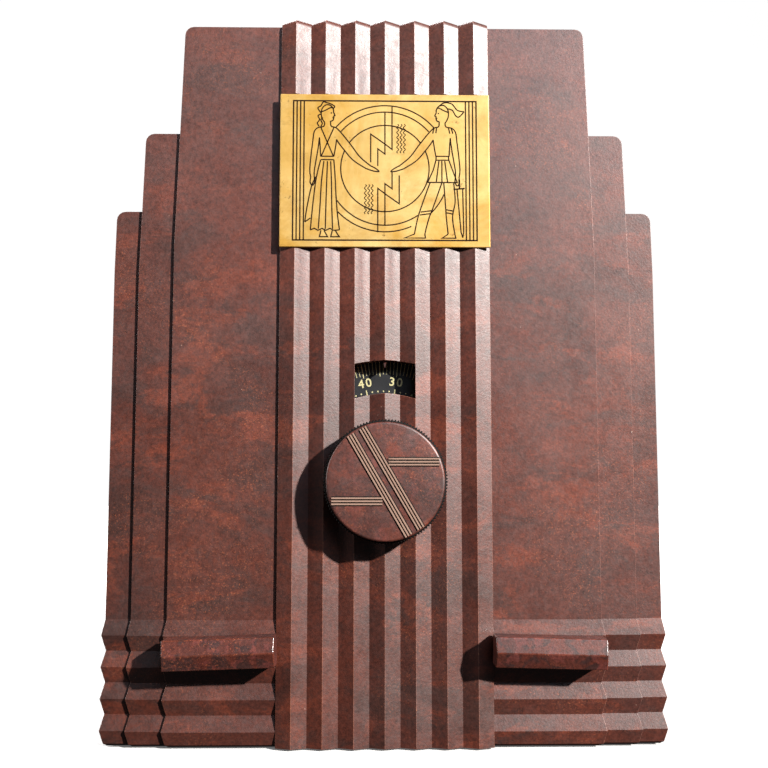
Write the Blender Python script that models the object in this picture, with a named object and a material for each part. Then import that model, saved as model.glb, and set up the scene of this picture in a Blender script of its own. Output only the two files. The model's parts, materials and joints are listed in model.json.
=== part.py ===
"""An art deco table radio of the early 1930s: a stepped bakelite cabinet with a fluted centre band.

Metres, +Z up. The front faces -Y, and the origin is under the middle of the radio, on the table.
Everything is driven by the constants below, which are written in millimetres times MM.
"""

import math
from typing import NamedTuple

import bmesh
import bpy
from mathutils import Matrix, Vector

MM = 0.001
GAP = 0.3 * MM  # clearance between two pieces that rest on each other
OVERLAP = 1.0 * MM  # how far pieces that a Boolean joins reach into each other
THROUGH = 5.0 * MM  # how far a cutter reaches past the wall it cuts

# Overall sizes
DEPTH = 190.5 * MM  # from the face of the tuning knob to the back rim
BASE_Z = 0.8 * MM  # underside of the cabinet, which stands on felt pads

# Zigzag relief: one pitch for the vertical flutes and the horizontal pleats
PITCH = 12.3 * MM
RELIEF = 2.0 * MM  # depth of the flutes
FLUTES = 7
PLEATS = 4
PLEAT_OUT = 1.2 * MM  # how far the pleats' ridges stand out from the panels above them
PLEAT_IN = 0.4 * MM  # how far the pleats' valleys lie behind those panels
BAND_TOP_RELIEF = 0.5  # share of the relief that the flutes keep on top of the cabinet


class Step(NamedTuple):
    """One step of the cabinet: straight sides, then a slight taper. Heights are above the underside."""

    half: float  # half width where the sides are straight
    taper_z: float  # where the taper starts
    top_half: float  # half width at the top
    height: float


STEP_DEPTH = 1.5 * MM  # how far each step lies behind the one before
STEPS = (
    Step(86.5 * MM, 200.0 * MM, 83.5 * MM, 293.7 * MM),
    Step(101.0 * MM, 190.0 * MM, 99.3 * MM, 248.0 * MM),
    Step(111.4 * MM, 190.0 * MM, 110.9 * MM, 215.2 * MM),
)
CORNER_RADIUS = 3.6 * MM
CORNER_POINTS = 4
BAND_RISE = PLEAT_OUT + 0.05 * MM  # how far the band's grooves stand off the main panel
BAND_CREST = 2.0 * MM  # the same on top of the cabinet
BAND_HALF = FLUTES * PITCH / 2
BAND_EDGE_RADIUS = 3.2 * MM
WALL = 3.5 * MM
FLOOR = 4.0 * MM

# Planes along the depth
KNOB_REACH = 15.7 * MM  # main panel to knob face
FACE_Y = -DEPTH / 2 + KNOB_REACH  # main panel
BACK_Y = DEPTH / 2  # back rim
BOSS_END_Y = BACK_Y - 6.75 * MM

# Tuning axis, dial and window
AXIS_Z = BASE_Z + 104.0 * MM
SHAFT_RADIUS = 3.175 * MM
BORE_RADIUS = SHAFT_RADIUS + GAP
KNOB_RADIUS = 24.4 * MM
KNOB_BACK_Y = FACE_Y - 4.8 * MM
KNOB_FACE_Y = FACE_Y - KNOB_REACH
KNOB_TEETH = 72
TOOTH_DEPTH = 0.5 * MM
WINDOW_HALF = PITCH
WINDOW_RADII = (35.3 * MM, 48.8 * MM)
DIAL_RADIUS = 52.0 * MM
DIAL_Y = FACE_Y + 4.4 * MM
DIAL_READING = 33  # what the window shows at rest, on a scale from 0 to 100 over half a turn

# Bar knobs of the two lower controls
BAR_X = 64.2 * MM
BAR_Z = BASE_Z + 38.0 * MM
BAR_HALF_LENGTH = 21.7 * MM
BAR_HALF_HEIGHT = 5.8 * MM
BAR_BACK_Y = FACE_Y - 3.0 * MM
BAR_SHOULDER_Y = FACE_Y - 12.2 * MM
BAR_END_DRAFT = 0.3 * MM
BAR_TILTS = {"volume": math.radians(-1.8), "tone": math.radians(1.5)}

# Engraved plate
PLATE_Z = (BASE_Z + 199.0 * MM, BASE_Z + 263.5 * MM)
PLATE_HALF = 43.2 * MM
PLATE_THICK = 0.9 * MM
PLATE_SEAT = 0.85 * MM  # depth of the flats cut into the flutes for the plate
FOOT_CHAMFER = 1.0 * MM
STUD_X = 30.0 * MM

# Chassis
CHASSIS_HALF = 93.0 * MM
CHASSIS_Y = (-63.0 * MM, 68.0 * MM)
CHASSIS_Z = (BASE_Z + FLOOR + GAP, 60.0 * MM)
SHEET = 1.2 * MM
CHASSIS_BOLTS = ((-76.0 * MM, 56.0 * MM), (76.0 * MM, 56.0 * MM))
FEET = ((-88.0 * MM, -50.0 * MM), (88.0 * MM, -50.0 * MM), (-88.0 * MM, 78.0 * MM), (88.0 * MM, 78.0 * MM))
FOOT_RADIUS = 8.0 * MM

# Tuning condenser
GANG_Y = (-58.0 * MM, -4.0 * MM)
GANG_HALF = 24.0 * MM
GANG_DROP = 27.0 * MM
GANG_FRAME = 1.5 * MM
ROTOR_RADIUS = 20.0 * MM
PLATE_SHEET = 0.7 * MM
PLATE_PITCH = 4.0 * MM
SECTION_STARTS = (-53.0 * MM, -26.0 * MM)
ROTORS_PER_SECTION = 5

# Valves, in order from the aerial to the mains: place, and whether it wears a screening can
VALVES = (
    ("mixer", -72.0 * MM, -40.0 * MM, True),
    ("if_amplifier", -72.0 * MM, 44.0 * MM, True),
    ("detector", 0.0 * MM, 42.0 * MM, False),
    ("output", 36.2 * MM, 42.0 * MM, False),
    ("rectifier", 73.0 * MM, 44.0 * MM, False),
)
VALVE_BASE_RADIUS = 14.5 * MM

# Loudspeaker, facing backwards
SPEAKER_Z = BASE_Z + 221.0 * MM
SPEAKER_RADIUS = 64.0 * MM
COVER_THICK = 3.0 * MM
COVER_Y = BOSS_END_Y + GAP  # inner face of the back cover
CLOTH_THICK = 0.6 * MM
BOSSES = ((-100.5 * MM, BASE_Z + 24.0 * MM), (100.5 * MM, BASE_Z + 24.0 * MM),
          (-76.0 * MM, BASE_Z + 274.0 * MM), (76.0 * MM, BASE_Z + 274.0 * MM))
CORD_HOLE = (-70.0 * MM, BASE_Z + 30.0 * MM)


# ---------------------------------------------------------------- materials

def make_material(name, colour, roughness, metallic=0.0):
    made = bpy.data.materials.new(name)
    made.use_nodes = True
    shader = made.node_tree.nodes["Principled BSDF"]
    shader.inputs["Base Color"].default_value = (*colour, 1.0)
    shader.inputs["Roughness"].default_value = roughness
    shader.inputs["Metallic"].default_value = metallic
    return made


def make_materials():
    return {
        "bakelite": make_material("bakelite", (0.115, 0.036, 0.024), 0.32),
        "brass": make_material("brass", (0.70, 0.47, 0.16), 0.38, 1.0),
        "dial_black": make_material("dial_black", (0.012, 0.012, 0.014), 0.45),
        "steel": make_material("steel", (0.42, 0.42, 0.43), 0.42, 1.0),
        "plated_steel": make_material("plated_steel", (0.60, 0.60, 0.58), 0.35, 1.0),
        "aluminium": make_material("aluminium", (0.78, 0.78, 0.80), 0.30, 1.0),
        "valve_glass": make_material("valve_glass", (0.75, 0.80, 0.80), 0.05),
        "valve_base": make_material("valve_base", (0.030, 0.016, 0.012), 0.35),
        "black_iron": make_material("black_iron", (0.022, 0.022, 0.024), 0.55),
        "paper_cone": make_material("paper_cone", (0.055, 0.045, 0.038), 0.90),
        "cloth": make_material("cloth", (0.22, 0.15, 0.08), 0.95),
        "felt": make_material("felt", (0.10, 0.09, 0.08), 0.98),
        "fibre": make_material("fibre", (0.24, 0.13, 0.06), 0.80),
        "rubber": make_material("rubber", (0.02, 0.02, 0.02), 0.85),
    }


# ---------------------------------------------------------------- shapes

def add_object(name, bm, material, location=(0, 0, 0), parent=None, smooth=False):
    """Turns a bmesh into a named object. Its faces are made to point outwards."""
    bmesh.ops.recalc_face_normals(bm, faces=bm.faces)
    mesh = bpy.data.meshes.new(name)
    bm.to_mesh(mesh)
    bm.free()
    if smooth:
        mesh.shade_smooth()
        mesh.set_sharp_from_angle(angle=math.radians(35))
    if material:
        mesh.materials.append(material)
    obj = bpy.data.objects.new(name, mesh)
    bpy.context.scene.collection.objects.link(obj)
    obj.location = location
    obj.parent = parent
    return obj


def add_axis(name, location):
    empty = bpy.data.objects.new(name, None)
    empty.location = location
    bpy.context.scene.collection.objects.link(empty)
    return empty


def loft(rings):
    """A closed body through rings of equally many points, with a cap at each end."""
    bm = bmesh.new()
    made = [[bm.verts.new(point) for point in ring] for ring in rings]
    for lower, upper in zip(made, made[1:]):
        for k in range(len(lower)):
            n = (k + 1) % len(lower)
            bm.faces.new((lower[k], lower[n], upper[n], upper[k]))
    bm.faces.new(made[0])
    bm.faces.new(made[-1])
    return bm


def boxes(*corner_pairs):
    """Separate boxes in one bmesh, each from its lowest to its highest corner."""
    bm = bmesh.new()
    for low, high in corner_pairs:
        low, high = Vector(low), Vector(high)
        place = Matrix.Translation((low + high) / 2) @ Matrix.Diagonal((*(high - low), 1.0))
        bmesh.ops.create_cube(bm, size=1.0, matrix=place)
    return bm


def prism_y(outline, start, end):
    """An outline of (x, z) points, extruded along Y."""
    bm = bmesh.new()
    face = bm.faces.new([bm.verts.new((x, start, z)) for x, z in outline])
    made = bmesh.ops.extrude_face_region(bm, geom=[face])
    moved = [v for v in made["geom"] if isinstance(v, bmesh.types.BMVert)]
    bmesh.ops.translate(bm, verts=moved, vec=(0, end - start, 0))
    return bm


def turned(profile, segments, closed=False, along="Z"):
    """A profile of (radius, height) points spun about the axis. It ends on the axis, or is a closed loop."""
    bm = bmesh.new()
    verts = [bm.verts.new((radius, 0, height)) for radius, height in profile]
    edges = [bm.edges.new(pair) for pair in zip(verts, verts[1:])]
    if closed:
        edges.append(bm.edges.new((verts[-1], verts[0])))
    bmesh.ops.spin(bm, geom=verts + edges, cent=(0, 0, 0), axis=(0, 0, 1),
                   angle=2 * math.pi, steps=segments, use_merge=True)
    bmesh.ops.remove_doubles(bm, verts=bm.verts, dist=0.001 * MM)
    if along == "Y":
        bmesh.ops.rotate(bm, verts=bm.verts, cent=(0, 0, 0), matrix=Matrix.Rotation(-math.pi / 2, 3, "X"))
    return bm


def rod(radius, low, high, segments=16, along="Z"):
    return turned([(0, low), (radius, low), (radius, high), (0, high)], segments, along=along)


def merged(*parts):
    """Several separate bmeshes in one, for a cutter of many bodies."""
    whole = bmesh.new()
    for bm, offset in parts:
        bmesh.ops.translate(bm, verts=bm.verts, vec=offset)
        mesh = bpy.data.meshes.new("part")
        bm.to_mesh(mesh)
        bm.free()
        whole.from_mesh(mesh)
        bpy.data.meshes.remove(mesh)
    return whole


def combine(target, bm, name, operation):
    """Adds or cuts a helper shape with a Boolean that stays on the target."""
    helper = add_object(name, bm, None)
    helper.parent = target.parent
    helper.hide_render = True
    helper.display_type = "WIRE"
    modifier = target.modifiers.new(name, "BOOLEAN")
    modifier.operation = operation
    modifier.object = helper
    modifier.solver = "EXACT"
    return helper


def cut(target, bm, name):
    return combine(target, bm, name, "DIFFERENCE")


def join(target, bm, name):
    return combine(target, bm, name, "UNION")


def bevel(obj, width, segments=1):
    modifier = obj.modifiers.new("edges", "BEVEL")
    modifier.width = width
    modifier.segments = segments
    modifier.limit_method = "ANGLE"
    modifier.angle_limit = math.radians(40)


def arc(centre, radius, start, end, points):
    """Points on an arc in a plane, from one angle to another, both ends included."""
    turns = [start + (end - start) * k / points for k in range(points + 1)]
    return [(centre[0] + radius * math.cos(t), centre[1] + radius * math.sin(t)) for t in turns]


# ---------------------------------------------------------------- cabinet

def pleat_stations():
    """(height, how far the surface stands out) up the pleated foot of the cabinet, with a chamfer at the bottom."""
    slope = (PLEAT_OUT + PLEAT_IN) / (PITCH / 2)
    stations = [(BASE_Z, -PLEAT_IN - FOOT_CHAMFER), (BASE_Z + FOOT_CHAMFER, slope * FOOT_CHAMFER - PLEAT_IN)]
    stations += [(BASE_Z + k * PITCH / 2, PLEAT_OUT if k % 2 else -PLEAT_IN) for k in range(1, 2 * PLEATS)]
    return stations + [(BASE_Z + PLEATS * PITCH, 0.0)]


def half_width(step, height):
    """Half the width of a step at a height above the underside."""
    share = max(0.0, (height - step.taper_z) / (step.height - step.taper_z))
    return step.half + (step.top_half - step.half) * share


def step_block(step, front):
    """One step: a box with a pleated foot on its front and sides, and round top corners."""
    sections = [(step.half + out, front - out, z) for z, out in pleat_stations()]
    sections.append((step.half, front, BASE_Z + step.taper_z))
    corner_z = step.height - CORNER_RADIUS
    centre = (half_width(step, corner_z) - CORNER_RADIUS, BASE_Z + corner_z)
    corner = arc(centre, CORNER_RADIUS, 0, math.pi / 2, CORNER_POINTS)
    sections += [(x, front, z) for x, z in corner]
    rings = [[(-x, y, z), (x, y, z), (x, BACK_Y, z), (-x, BACK_Y, z)] for x, y, z in sections]
    return loft(rings)


def step_hollow(step, front):
    """The room inside one step, open at the back."""
    near, far = front + WALL, BACK_Y + THROUGH
    rings = []
    for height in (FLOOR, step.taper_z, step.height - WALL):
        x, z = half_width(step, height) - WALL, BASE_Z + height
        rings.append([(-x, near, z), (x, near, z), (x, far, z), (-x, far, z)])
    return loft(rings)


def fluted_band():
    """The centre band: vertical flutes that turn over the top front edge and run to the back."""
    rings = []
    for k in range(2 * FLUTES + 1):
        x = -BAND_HALF + k * PITCH / 2
        relief = RELIEF if k % 2 else 0.0
        front = FACE_Y - BAND_RISE - relief
        top = BASE_Z + STEPS[0].height + BAND_CREST + relief * BAND_TOP_RELIEF
        centre = (front + BAND_EDGE_RADIUS, top - BAND_EDGE_RADIUS)
        corner = arc(centre, BAND_EDGE_RADIUS, math.pi, math.pi / 2, CORNER_POINTS)
        outline = [(front, BASE_Z), *corner, (BACK_Y, top), (BACK_Y, BASE_Z)]
        rings.append([(x, y, z) for y, z in outline])
    return loft(rings)


def dial_window():
    """The window above the knob: two arcs about the tuning axis between straight sides."""
    inner, outer = WINDOW_RADII
    outline = []
    for radius, order in ((inner, 1), (outer, -1)):
        half = math.asin(WINDOW_HALF / radius) * order
        outline += arc((0, AXIS_Z), radius, math.pi / 2 + half, math.pi / 2 - half, 6)
    return prism_y(outline, FACE_Y - 2 * THROUGH, FACE_Y + WALL + THROUGH)


def make_cabinet(materials):
    shell = add_object("cabinet_shell", step_block(STEPS[0], FACE_Y), materials["bakelite"])
    for k, step in enumerate(STEPS[1:], 1):
        join(shell, step_block(step, FACE_Y + k * STEP_DEPTH), f"step_{k}")
    join(shell, fluted_band(), "band")
    for k, step in enumerate(STEPS):
        cut(shell, step_hollow(step, FACE_Y + k * STEP_DEPTH), f"hollow_{k}")
    for k, (x, z) in enumerate(BOSSES):
        step = STEPS[0] if z > BASE_Z + STEPS[1].height else STEPS[2]
        wall_x = half_width(step, z + 6 * MM - BASE_Z) - WALL + OVERLAP
        inner = abs(x) - 6 * MM
        low_x, high_x = sorted((math.copysign(inner, x), math.copysign(wall_x, x)))
        low, high = (low_x, BOSS_END_Y - 24 * MM, z - 6 * MM), (high_x, BOSS_END_Y, z + 6 * MM)
        join(shell, boxes((low, high)), f"boss_{k}")
    cut(shell, dial_window(), "window")
    seat_y = FACE_Y - BAND_RISE - RELIEF + PLATE_SEAT
    low = (-PLATE_HALF - GAP, seat_y - THROUGH, PLATE_Z[0] - GAP)
    cut(shell, boxes((low, (PLATE_HALF + GAP, seat_y, PLATE_Z[1] + GAP))), "plate_seat")
    front_holes = [
        (rod(4.7 * MM, FACE_Y - 2 * THROUGH, FACE_Y + WALL + THROUGH, 24, "Y"), (0, 0, AXIS_Z)),
        (rod(4.0 * MM, FACE_Y - THROUGH, FACE_Y + WALL + THROUGH, 20, "Y"), (-BAR_X, 0, BAR_Z)),
        (rod(4.0 * MM, FACE_Y - THROUGH, FACE_Y + WALL + THROUGH, 20, "Y"), (BAR_X, 0, BAR_Z)),
    ]
    plate_middle = sum(PLATE_Z) / 2
    for side in (-1, 1):
        stud_hole = rod(1.8 * MM, FACE_Y - 2 * THROUGH, FACE_Y + WALL + THROUGH, 12, "Y")
        front_holes.append((stud_hole, (side * STUD_X, 0, plate_middle)))
    cut(shell, merged(*front_holes), "front_holes")
    screw_holes = [(rod(1.7 * MM, BOSS_END_Y - 14 * MM, BOSS_END_Y + THROUGH, 10, "Y"), (x, 0, z)) for x, z in BOSSES]
    cut(shell, merged(*screw_holes), "boss_holes")
    floor_cuts = [(rod(FOOT_RADIUS + 0.5 * MM, -THROUGH, BASE_Z + 1.0 * MM, 24), (x, y, 0)) for x, y in FEET]
    for x, y in CHASSIS_BOLTS:
        profile = [(0, -THROUGH), (5.6 * MM, -THROUGH), (5.6 * MM, BASE_Z + 2.4 * MM),
                   (2.4 * MM, BASE_Z + 2.4 * MM), (2.4 * MM, BASE_Z + 2 * THROUGH), (0, BASE_Z + 2 * THROUGH)]
        floor_cuts.append((turned(profile, 16), (x, y, 0)))
    cut(shell, merged(*floor_cuts), "floor_cuts")


def make_feet(materials):
    for k, (x, y) in enumerate(FEET, 1):
        pad = rod(FOOT_RADIUS, 0, BASE_Z + 1.0 * MM - GAP, 24)
        add_object(f"felt_foot_{k}", pad, materials["felt"], (x, y, 0), smooth=True)


def make_plate(materials):
    """The engraved plate in its seat on the flutes, with two studs through the front wall."""
    back = FACE_Y - BAND_RISE - RELIEF + PLATE_SEAT - GAP
    low, high = (-PLATE_HALF, back - PLATE_THICK, PLATE_Z[0]), (PLATE_HALF, back, PLATE_Z[1])
    plate = add_object("escutcheon_plate", boxes((low, high)), materials["brass"])
    bevel(plate, 0.3 * MM)
    middle = sum(PLATE_Z) / 2
    for side in (-1, 1):
        stud = rod(1.2 * MM, back - PLATE_THICK / 2, FACE_Y + WALL + 4 * MM, 10, "Y")
        join(plate, merged((stud, (side * STUD_X, 0, middle))), f"stud_{side}")


# ---------------------------------------------------------------- back

def cover_outline():
    """The stepped outline of the back cover, a clearance smaller than the shell's opening."""
    inset = WALL + 0.5 * MM
    low = FLOOR + 0.5 * MM
    right = []
    for step in reversed(STEPS):
        top = step.height - inset
        for height in sorted({low, max(low, step.taper_z), top}):
            right.append((half_width(step, height) - inset, BASE_Z + height))
        low = top
    return right + [(-x, z) for x, z in reversed(right)]


def make_back(materials):
    """The fibre back cover with its sound slots, air slots and cord hole, and what fastens it."""
    outer = COVER_Y + COVER_THICK
    cover = add_object("back_cover", prism_y(cover_outline(), COVER_Y, outer), materials["fibre"])
    near, far = COVER_Y - THROUGH, outer + THROUGH
    slots = []
    for k in range(-4, 5):
        x = k * PITCH
        half = math.sqrt((SPEAKER_RADIUS - 9 * MM) ** 2 - x * x)
        slots.append(((x - 2.6 * MM, near, SPEAKER_Z - half), (x + 2.6 * MM, far, SPEAKER_Z + half)))
    for k in range(-6, 7):
        x = k * PITCH
        slots.append(((x - 2.0 * MM, near, BASE_Z + 70 * MM), (x + 2.0 * MM, far, BASE_Z + 128 * MM)))
    cut(cover, boxes(*slots), "slots")
    holes = [(rod(2.1 * MM, near, far, 12, "Y"), (x, 0, z)) for x, z in BOSSES]
    holes.append((rod(5.6 * MM, near, far, 20, "Y"), (CORD_HOLE[0], 0, CORD_HOLE[1])))
    cut(cover, merged(*holes), "holes")

    cloth = rod(SPEAKER_RADIUS + 1 * MM, COVER_Y - GAP - CLOTH_THICK, COVER_Y - GAP, 40, "Y")
    add_object("grille_cloth", cloth, materials["cloth"], (0, 0, SPEAKER_Z))
    head = outer + GAP
    profile = [(0, BOSS_END_Y - 11 * MM), (1.3 * MM, BOSS_END_Y - 11 * MM), (1.3 * MM, head),
               (3.6 * MM, head), (3.3 * MM, head + 1.4 * MM), (1.8 * MM, head + 2.1 * MM), (0, head + 2.3 * MM)]
    for k, (x, z) in enumerate(BOSSES, 1):
        add_object(f"back_cover_screw_{k}", turned(profile, 14, along="Y"), materials["plated_steel"], (x, 0, z),
                   smooth=True)
    profile = [(2.6 * MM, COVER_Y - 2 * MM), (7.4 * MM, COVER_Y - 2 * MM), (7.4 * MM, COVER_Y - GAP),
               (5.3 * MM, COVER_Y - GAP), (5.3 * MM, head), (7.4 * MM, head), (6.6 * MM, head + 2 * MM),
               (2.6 * MM, head + 2 * MM)]
    add_object("cord_grommet", turned(profile, 20, closed=True, along="Y"), materials["rubber"],
               (CORD_HOLE[0], 0, CORD_HOLE[1]), smooth=True)


# ---------------------------------------------------------------- loudspeaker

def make_speaker(materials):
    """The loudspeaker behind the grille: basket, paper cone, field pot and output transformer."""
    flange = COVER_Y - 2 * GAP - CLOTH_THICK
    centre = (0, 0, SPEAKER_Z)
    wall = 1.4 * MM
    neck, neck_y = 30 * MM, flange - 34 * MM
    profile = [(SPEAKER_RADIUS, flange), (SPEAKER_RADIUS, flange - wall), (60.5 * MM, flange - wall),
               (neck + wall, neck_y - wall), (11 * MM, neck_y - wall), (11 * MM, neck_y), (neck, neck_y),
               (58.8 * MM, flange)]
    basket = add_object("speaker_basket", turned(profile, 36, closed=True, along="Y"), materials["steel"], centre,
                        smooth=True)
    windows = []
    for k in range(4):
        window = boxes(((36 * MM, neck_y + 2 * MM, -11 * MM), (70 * MM, flange - 8 * MM, 11 * MM)))
        turn = Matrix.Rotation(math.pi / 4 + k * math.pi / 2, 3, "Y")
        bmesh.ops.rotate(window, verts=window.verts, cent=(0, 0, 0), matrix=turn)
        windows.append((window, centre))
    cut(basket, merged(*windows), "basket_windows")
    paper = 0.9 * MM
    rim = flange - 1.5 * MM
    profile = [(56.2 * MM, rim), (56.2 * MM, rim - paper), (52 * MM, rim - 2.5 * MM), (13 * MM, neck_y + 6 * MM),
               (0, neck_y + 9 * MM), (0, neck_y + 9 * MM + paper), (13 * MM, neck_y + 6 * MM + 1.6 * paper),
               (51 * MM, rim - 1 * MM)]
    add_object("speaker_cone", turned(profile, 36, closed=True, along="Y"), materials["paper_cone"], centre,
               smooth=True)
    back = neck_y - wall - GAP
    profile = [(0, back), (29 * MM, back), (29 * MM, back - 40 * MM), (26 * MM, back - 43 * MM), (0, back - 43 * MM)]
    add_object("speaker_field_pot", turned(profile, 28, along="Y"), materials["black_iron"], centre, smooth=True)
    low = (-16 * MM, back - 38 * MM, SPEAKER_Z + 29.5 * MM)
    high = (16 * MM, back - 8 * MM, SPEAKER_Z + 56 * MM)
    transformer = add_object("output_transformer", boxes((low, high)), materials["black_iron"])
    bevel(transformer, 1.5 * MM)


# ---------------------------------------------------------------- chassis

def make_chassis(materials):
    half, (front, rear), (low, top) = CHASSIS_HALF, CHASSIS_Y, CHASSIS_Z
    pan = add_object("chassis_pan", boxes(((-half, front, low), (half, rear, top))), materials["plated_steel"])
    inside = boxes(((-half + SHEET, front + SHEET, low + SHEET), (half - SHEET, rear - SHEET, top - SHEET)))
    cut(pan, inside, "pan_inside")
    lip = 16 * MM
    cut(pan, boxes(((-half + lip, front + lip, low - THROUGH), (half - lip, rear - lip, low + THROUGH))), "pan_mouth")
    valve_holes = [(rod(VALVE_BASE_RADIUS + 1.5 * MM, top - THROUGH, top + THROUGH, 20), (x, y, 0))
                   for _, x, y, _ in VALVES]
    cut(pan, merged(*valve_holes), "valve_holes")
    apron_holes = [(rod(5.2 * MM, front - THROUGH, front + THROUGH, 16, "Y"), (side * BAR_X, 0, BAR_Z))
                   for side in (-1, 1)]
    cut(pan, merged(*apron_holes), "apron_holes")
    bolt_holes = [(rod(2.4 * MM, low - THROUGH, low + THROUGH, 12), (x, y, 0)) for x, y in CHASSIS_BOLTS]
    cut(pan, merged(*bolt_holes), "bolt_holes")
    head_top = BASE_Z + 2.4 * MM - GAP
    profile = [(0, BASE_Z + GAP), (5.2 * MM, BASE_Z + GAP), (5.2 * MM, head_top), (2.0 * MM, head_top),
               (2.0 * MM, low + 8 * MM), (0, low + 8 * MM)]
    for k, (x, y) in enumerate(CHASSIS_BOLTS, 1):
        add_object(f"chassis_bolt_{k}", turned(profile, 14), materials["plated_steel"], (x, y, 0), smooth=True)


def valve_pins():
    """Places of a valve's four pins round its axis."""
    return [(7.5 * MM * math.cos(t), 7.5 * MM * math.sin(t)) for t in (math.pi * (0.25 + 0.5 * k) for k in range(4))]


def make_valve(materials, name, x, y, screened):
    socket_top = CHASSIS_Z[1] - SHEET - GAP
    place = (x, y, 0)
    plate = rod(17.5 * MM, socket_top - 2 * MM, socket_top, 16)
    socket = add_object(f"{name}_socket", plate, materials["fibre"], place)
    pin_holes = [(rod(1.6 * MM, socket_top - THROUGH, socket_top + THROUGH, 6), (px, py, 0))
                 for px, py in valve_pins()]
    base_low = socket_top + GAP
    base_top = base_low + 24 * MM
    radius = VALVE_BASE_RADIUS
    profile = [(0, base_low), (radius, base_low), (radius, base_top), (radius - 1.5 * MM, base_top),
               (radius - 1.5 * MM, base_low + 3 * MM), (0, base_low + 3 * MM)]
    base = add_object(f"{name}_base", turned(profile, 20), materials["valve_base"], place, smooth=True)
    pins = [(rod(1.2 * MM, socket_top - 6.5 * MM, base_low + OVERLAP, 6), (px, py, 0)) for px, py in valve_pins()]
    for target, bodies, label, operation in ((socket, pin_holes, "pin_holes", "DIFFERENCE"),
                                             (base, pins, "pins", "UNION")):
        helper = combine(target, merged(*bodies), f"{name}_{label}", operation)
        helper.location = place
    low = base_low + 3 * MM + GAP
    glass = [(11.5, 0), (12.6, 2), (12.6, 21), (17.5, 38), (17.5, 58), (13.0, 72), (12.0, 84), (7.0, 91), (0, 92)]
    inner = [(0, 90.8), (6.3, 89.8), (11.0, 83), (12.0, 71), (16.4, 57), (16.4, 39), (11.5, 22)]
    profile = [(r * MM, low + h * MM) for r, h in glass + inner]
    add_object(f"{name}_glass", turned(profile, 18, closed=True), materials["valve_glass"], place, smooth=True)
    if screened:
        foot, head = CHASSIS_Z[1] + GAP, low + 96 * MM
        profile = [(19.2 * MM, foot), (22.5 * MM, foot), (22.5 * MM, foot + 0.8 * MM), (20.0 * MM, foot + 0.8 * MM),
                   (20.0 * MM, head), (8 * MM, head + 3 * MM), (8 * MM, head + 2.2 * MM), (19.2 * MM, head - 0.8 * MM)]
        add_object(f"{name}_screen", turned(profile, 20, closed=True), materials["aluminium"], place, smooth=True)


def make_chassis_parts(materials):
    """What stands on the chassis: screened transformers, the mains transformer, smoothing can and aerial coil."""
    floor = CHASSIS_Z[1] + GAP
    for k, (x, y) in enumerate(((-72 * MM, 2 * MM), (-33.8 * MM, 46 * MM)), 1):
        can = boxes(((-14 * MM, -14 * MM, floor), (14 * MM, 14 * MM, floor + 74 * MM)))
        body = add_object(f"if_transformer_{k}", can, materials["aluminium"], (x, y, 0))
        bevel(body, 3 * MM, 2)
    centre_x, centre_y = 67 * MM, -33 * MM
    core = boxes(((-25 * MM, -13 * MM, floor), (25 * MM, 13 * MM, floor + 58 * MM)))
    add_object("mains_transformer_core", core, materials["black_iron"], (centre_x, centre_y, 0))
    for label, side in (("front", -1), ("rear", 1)):
        near, far = sorted((side * (13 * MM + GAP), side * 27 * MM))
        bell = boxes(((-20 * MM, near, floor + 8 * MM), (20 * MM, far, floor + 50 * MM)))
        cover = add_object(f"mains_transformer_{label}_bell", bell, materials["black_iron"], (centre_x, centre_y, 0))
        bevel(cover, 4 * MM, 2)
    profile = [(0, floor), (14 * MM, floor), (14 * MM, floor + 76 * MM), (12 * MM, floor + 78 * MM),
               (0, floor + 78 * MM)]
    add_object("smoothing_capacitor", turned(profile, 24), materials["aluminium"], (72 * MM, 12 * MM, 0), smooth=True)
    coil = [(9.5, 0), (11, 0), (11, 12), (13, 12), (13, 26), (11, 26), (11, 32), (13, 32), (13, 40), (11, 40),
            (11, 52), (9.5, 52)]
    profile = [(r * MM, floor + h * MM) for r, h in coil]
    add_object("aerial_coil", turned(profile, 20, closed=True), materials["fibre"], (-42 * MM, 6 * MM, 0),
               smooth=True)


# ---------------------------------------------------------------- tuning condenser

def half_disc(inner, outer, centre_angle, thickness, y):
    """A half disc, or a half ring, about the tuning axis."""
    start, end = centre_angle - math.pi / 2, centre_angle + math.pi / 2
    outline = arc((0, AXIS_Z), outer, start, end, 12)
    if inner:
        outline += arc((0, AXIS_Z), inner, end, start, 8)
    return prism_y(outline, y, y + thickness)


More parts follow.
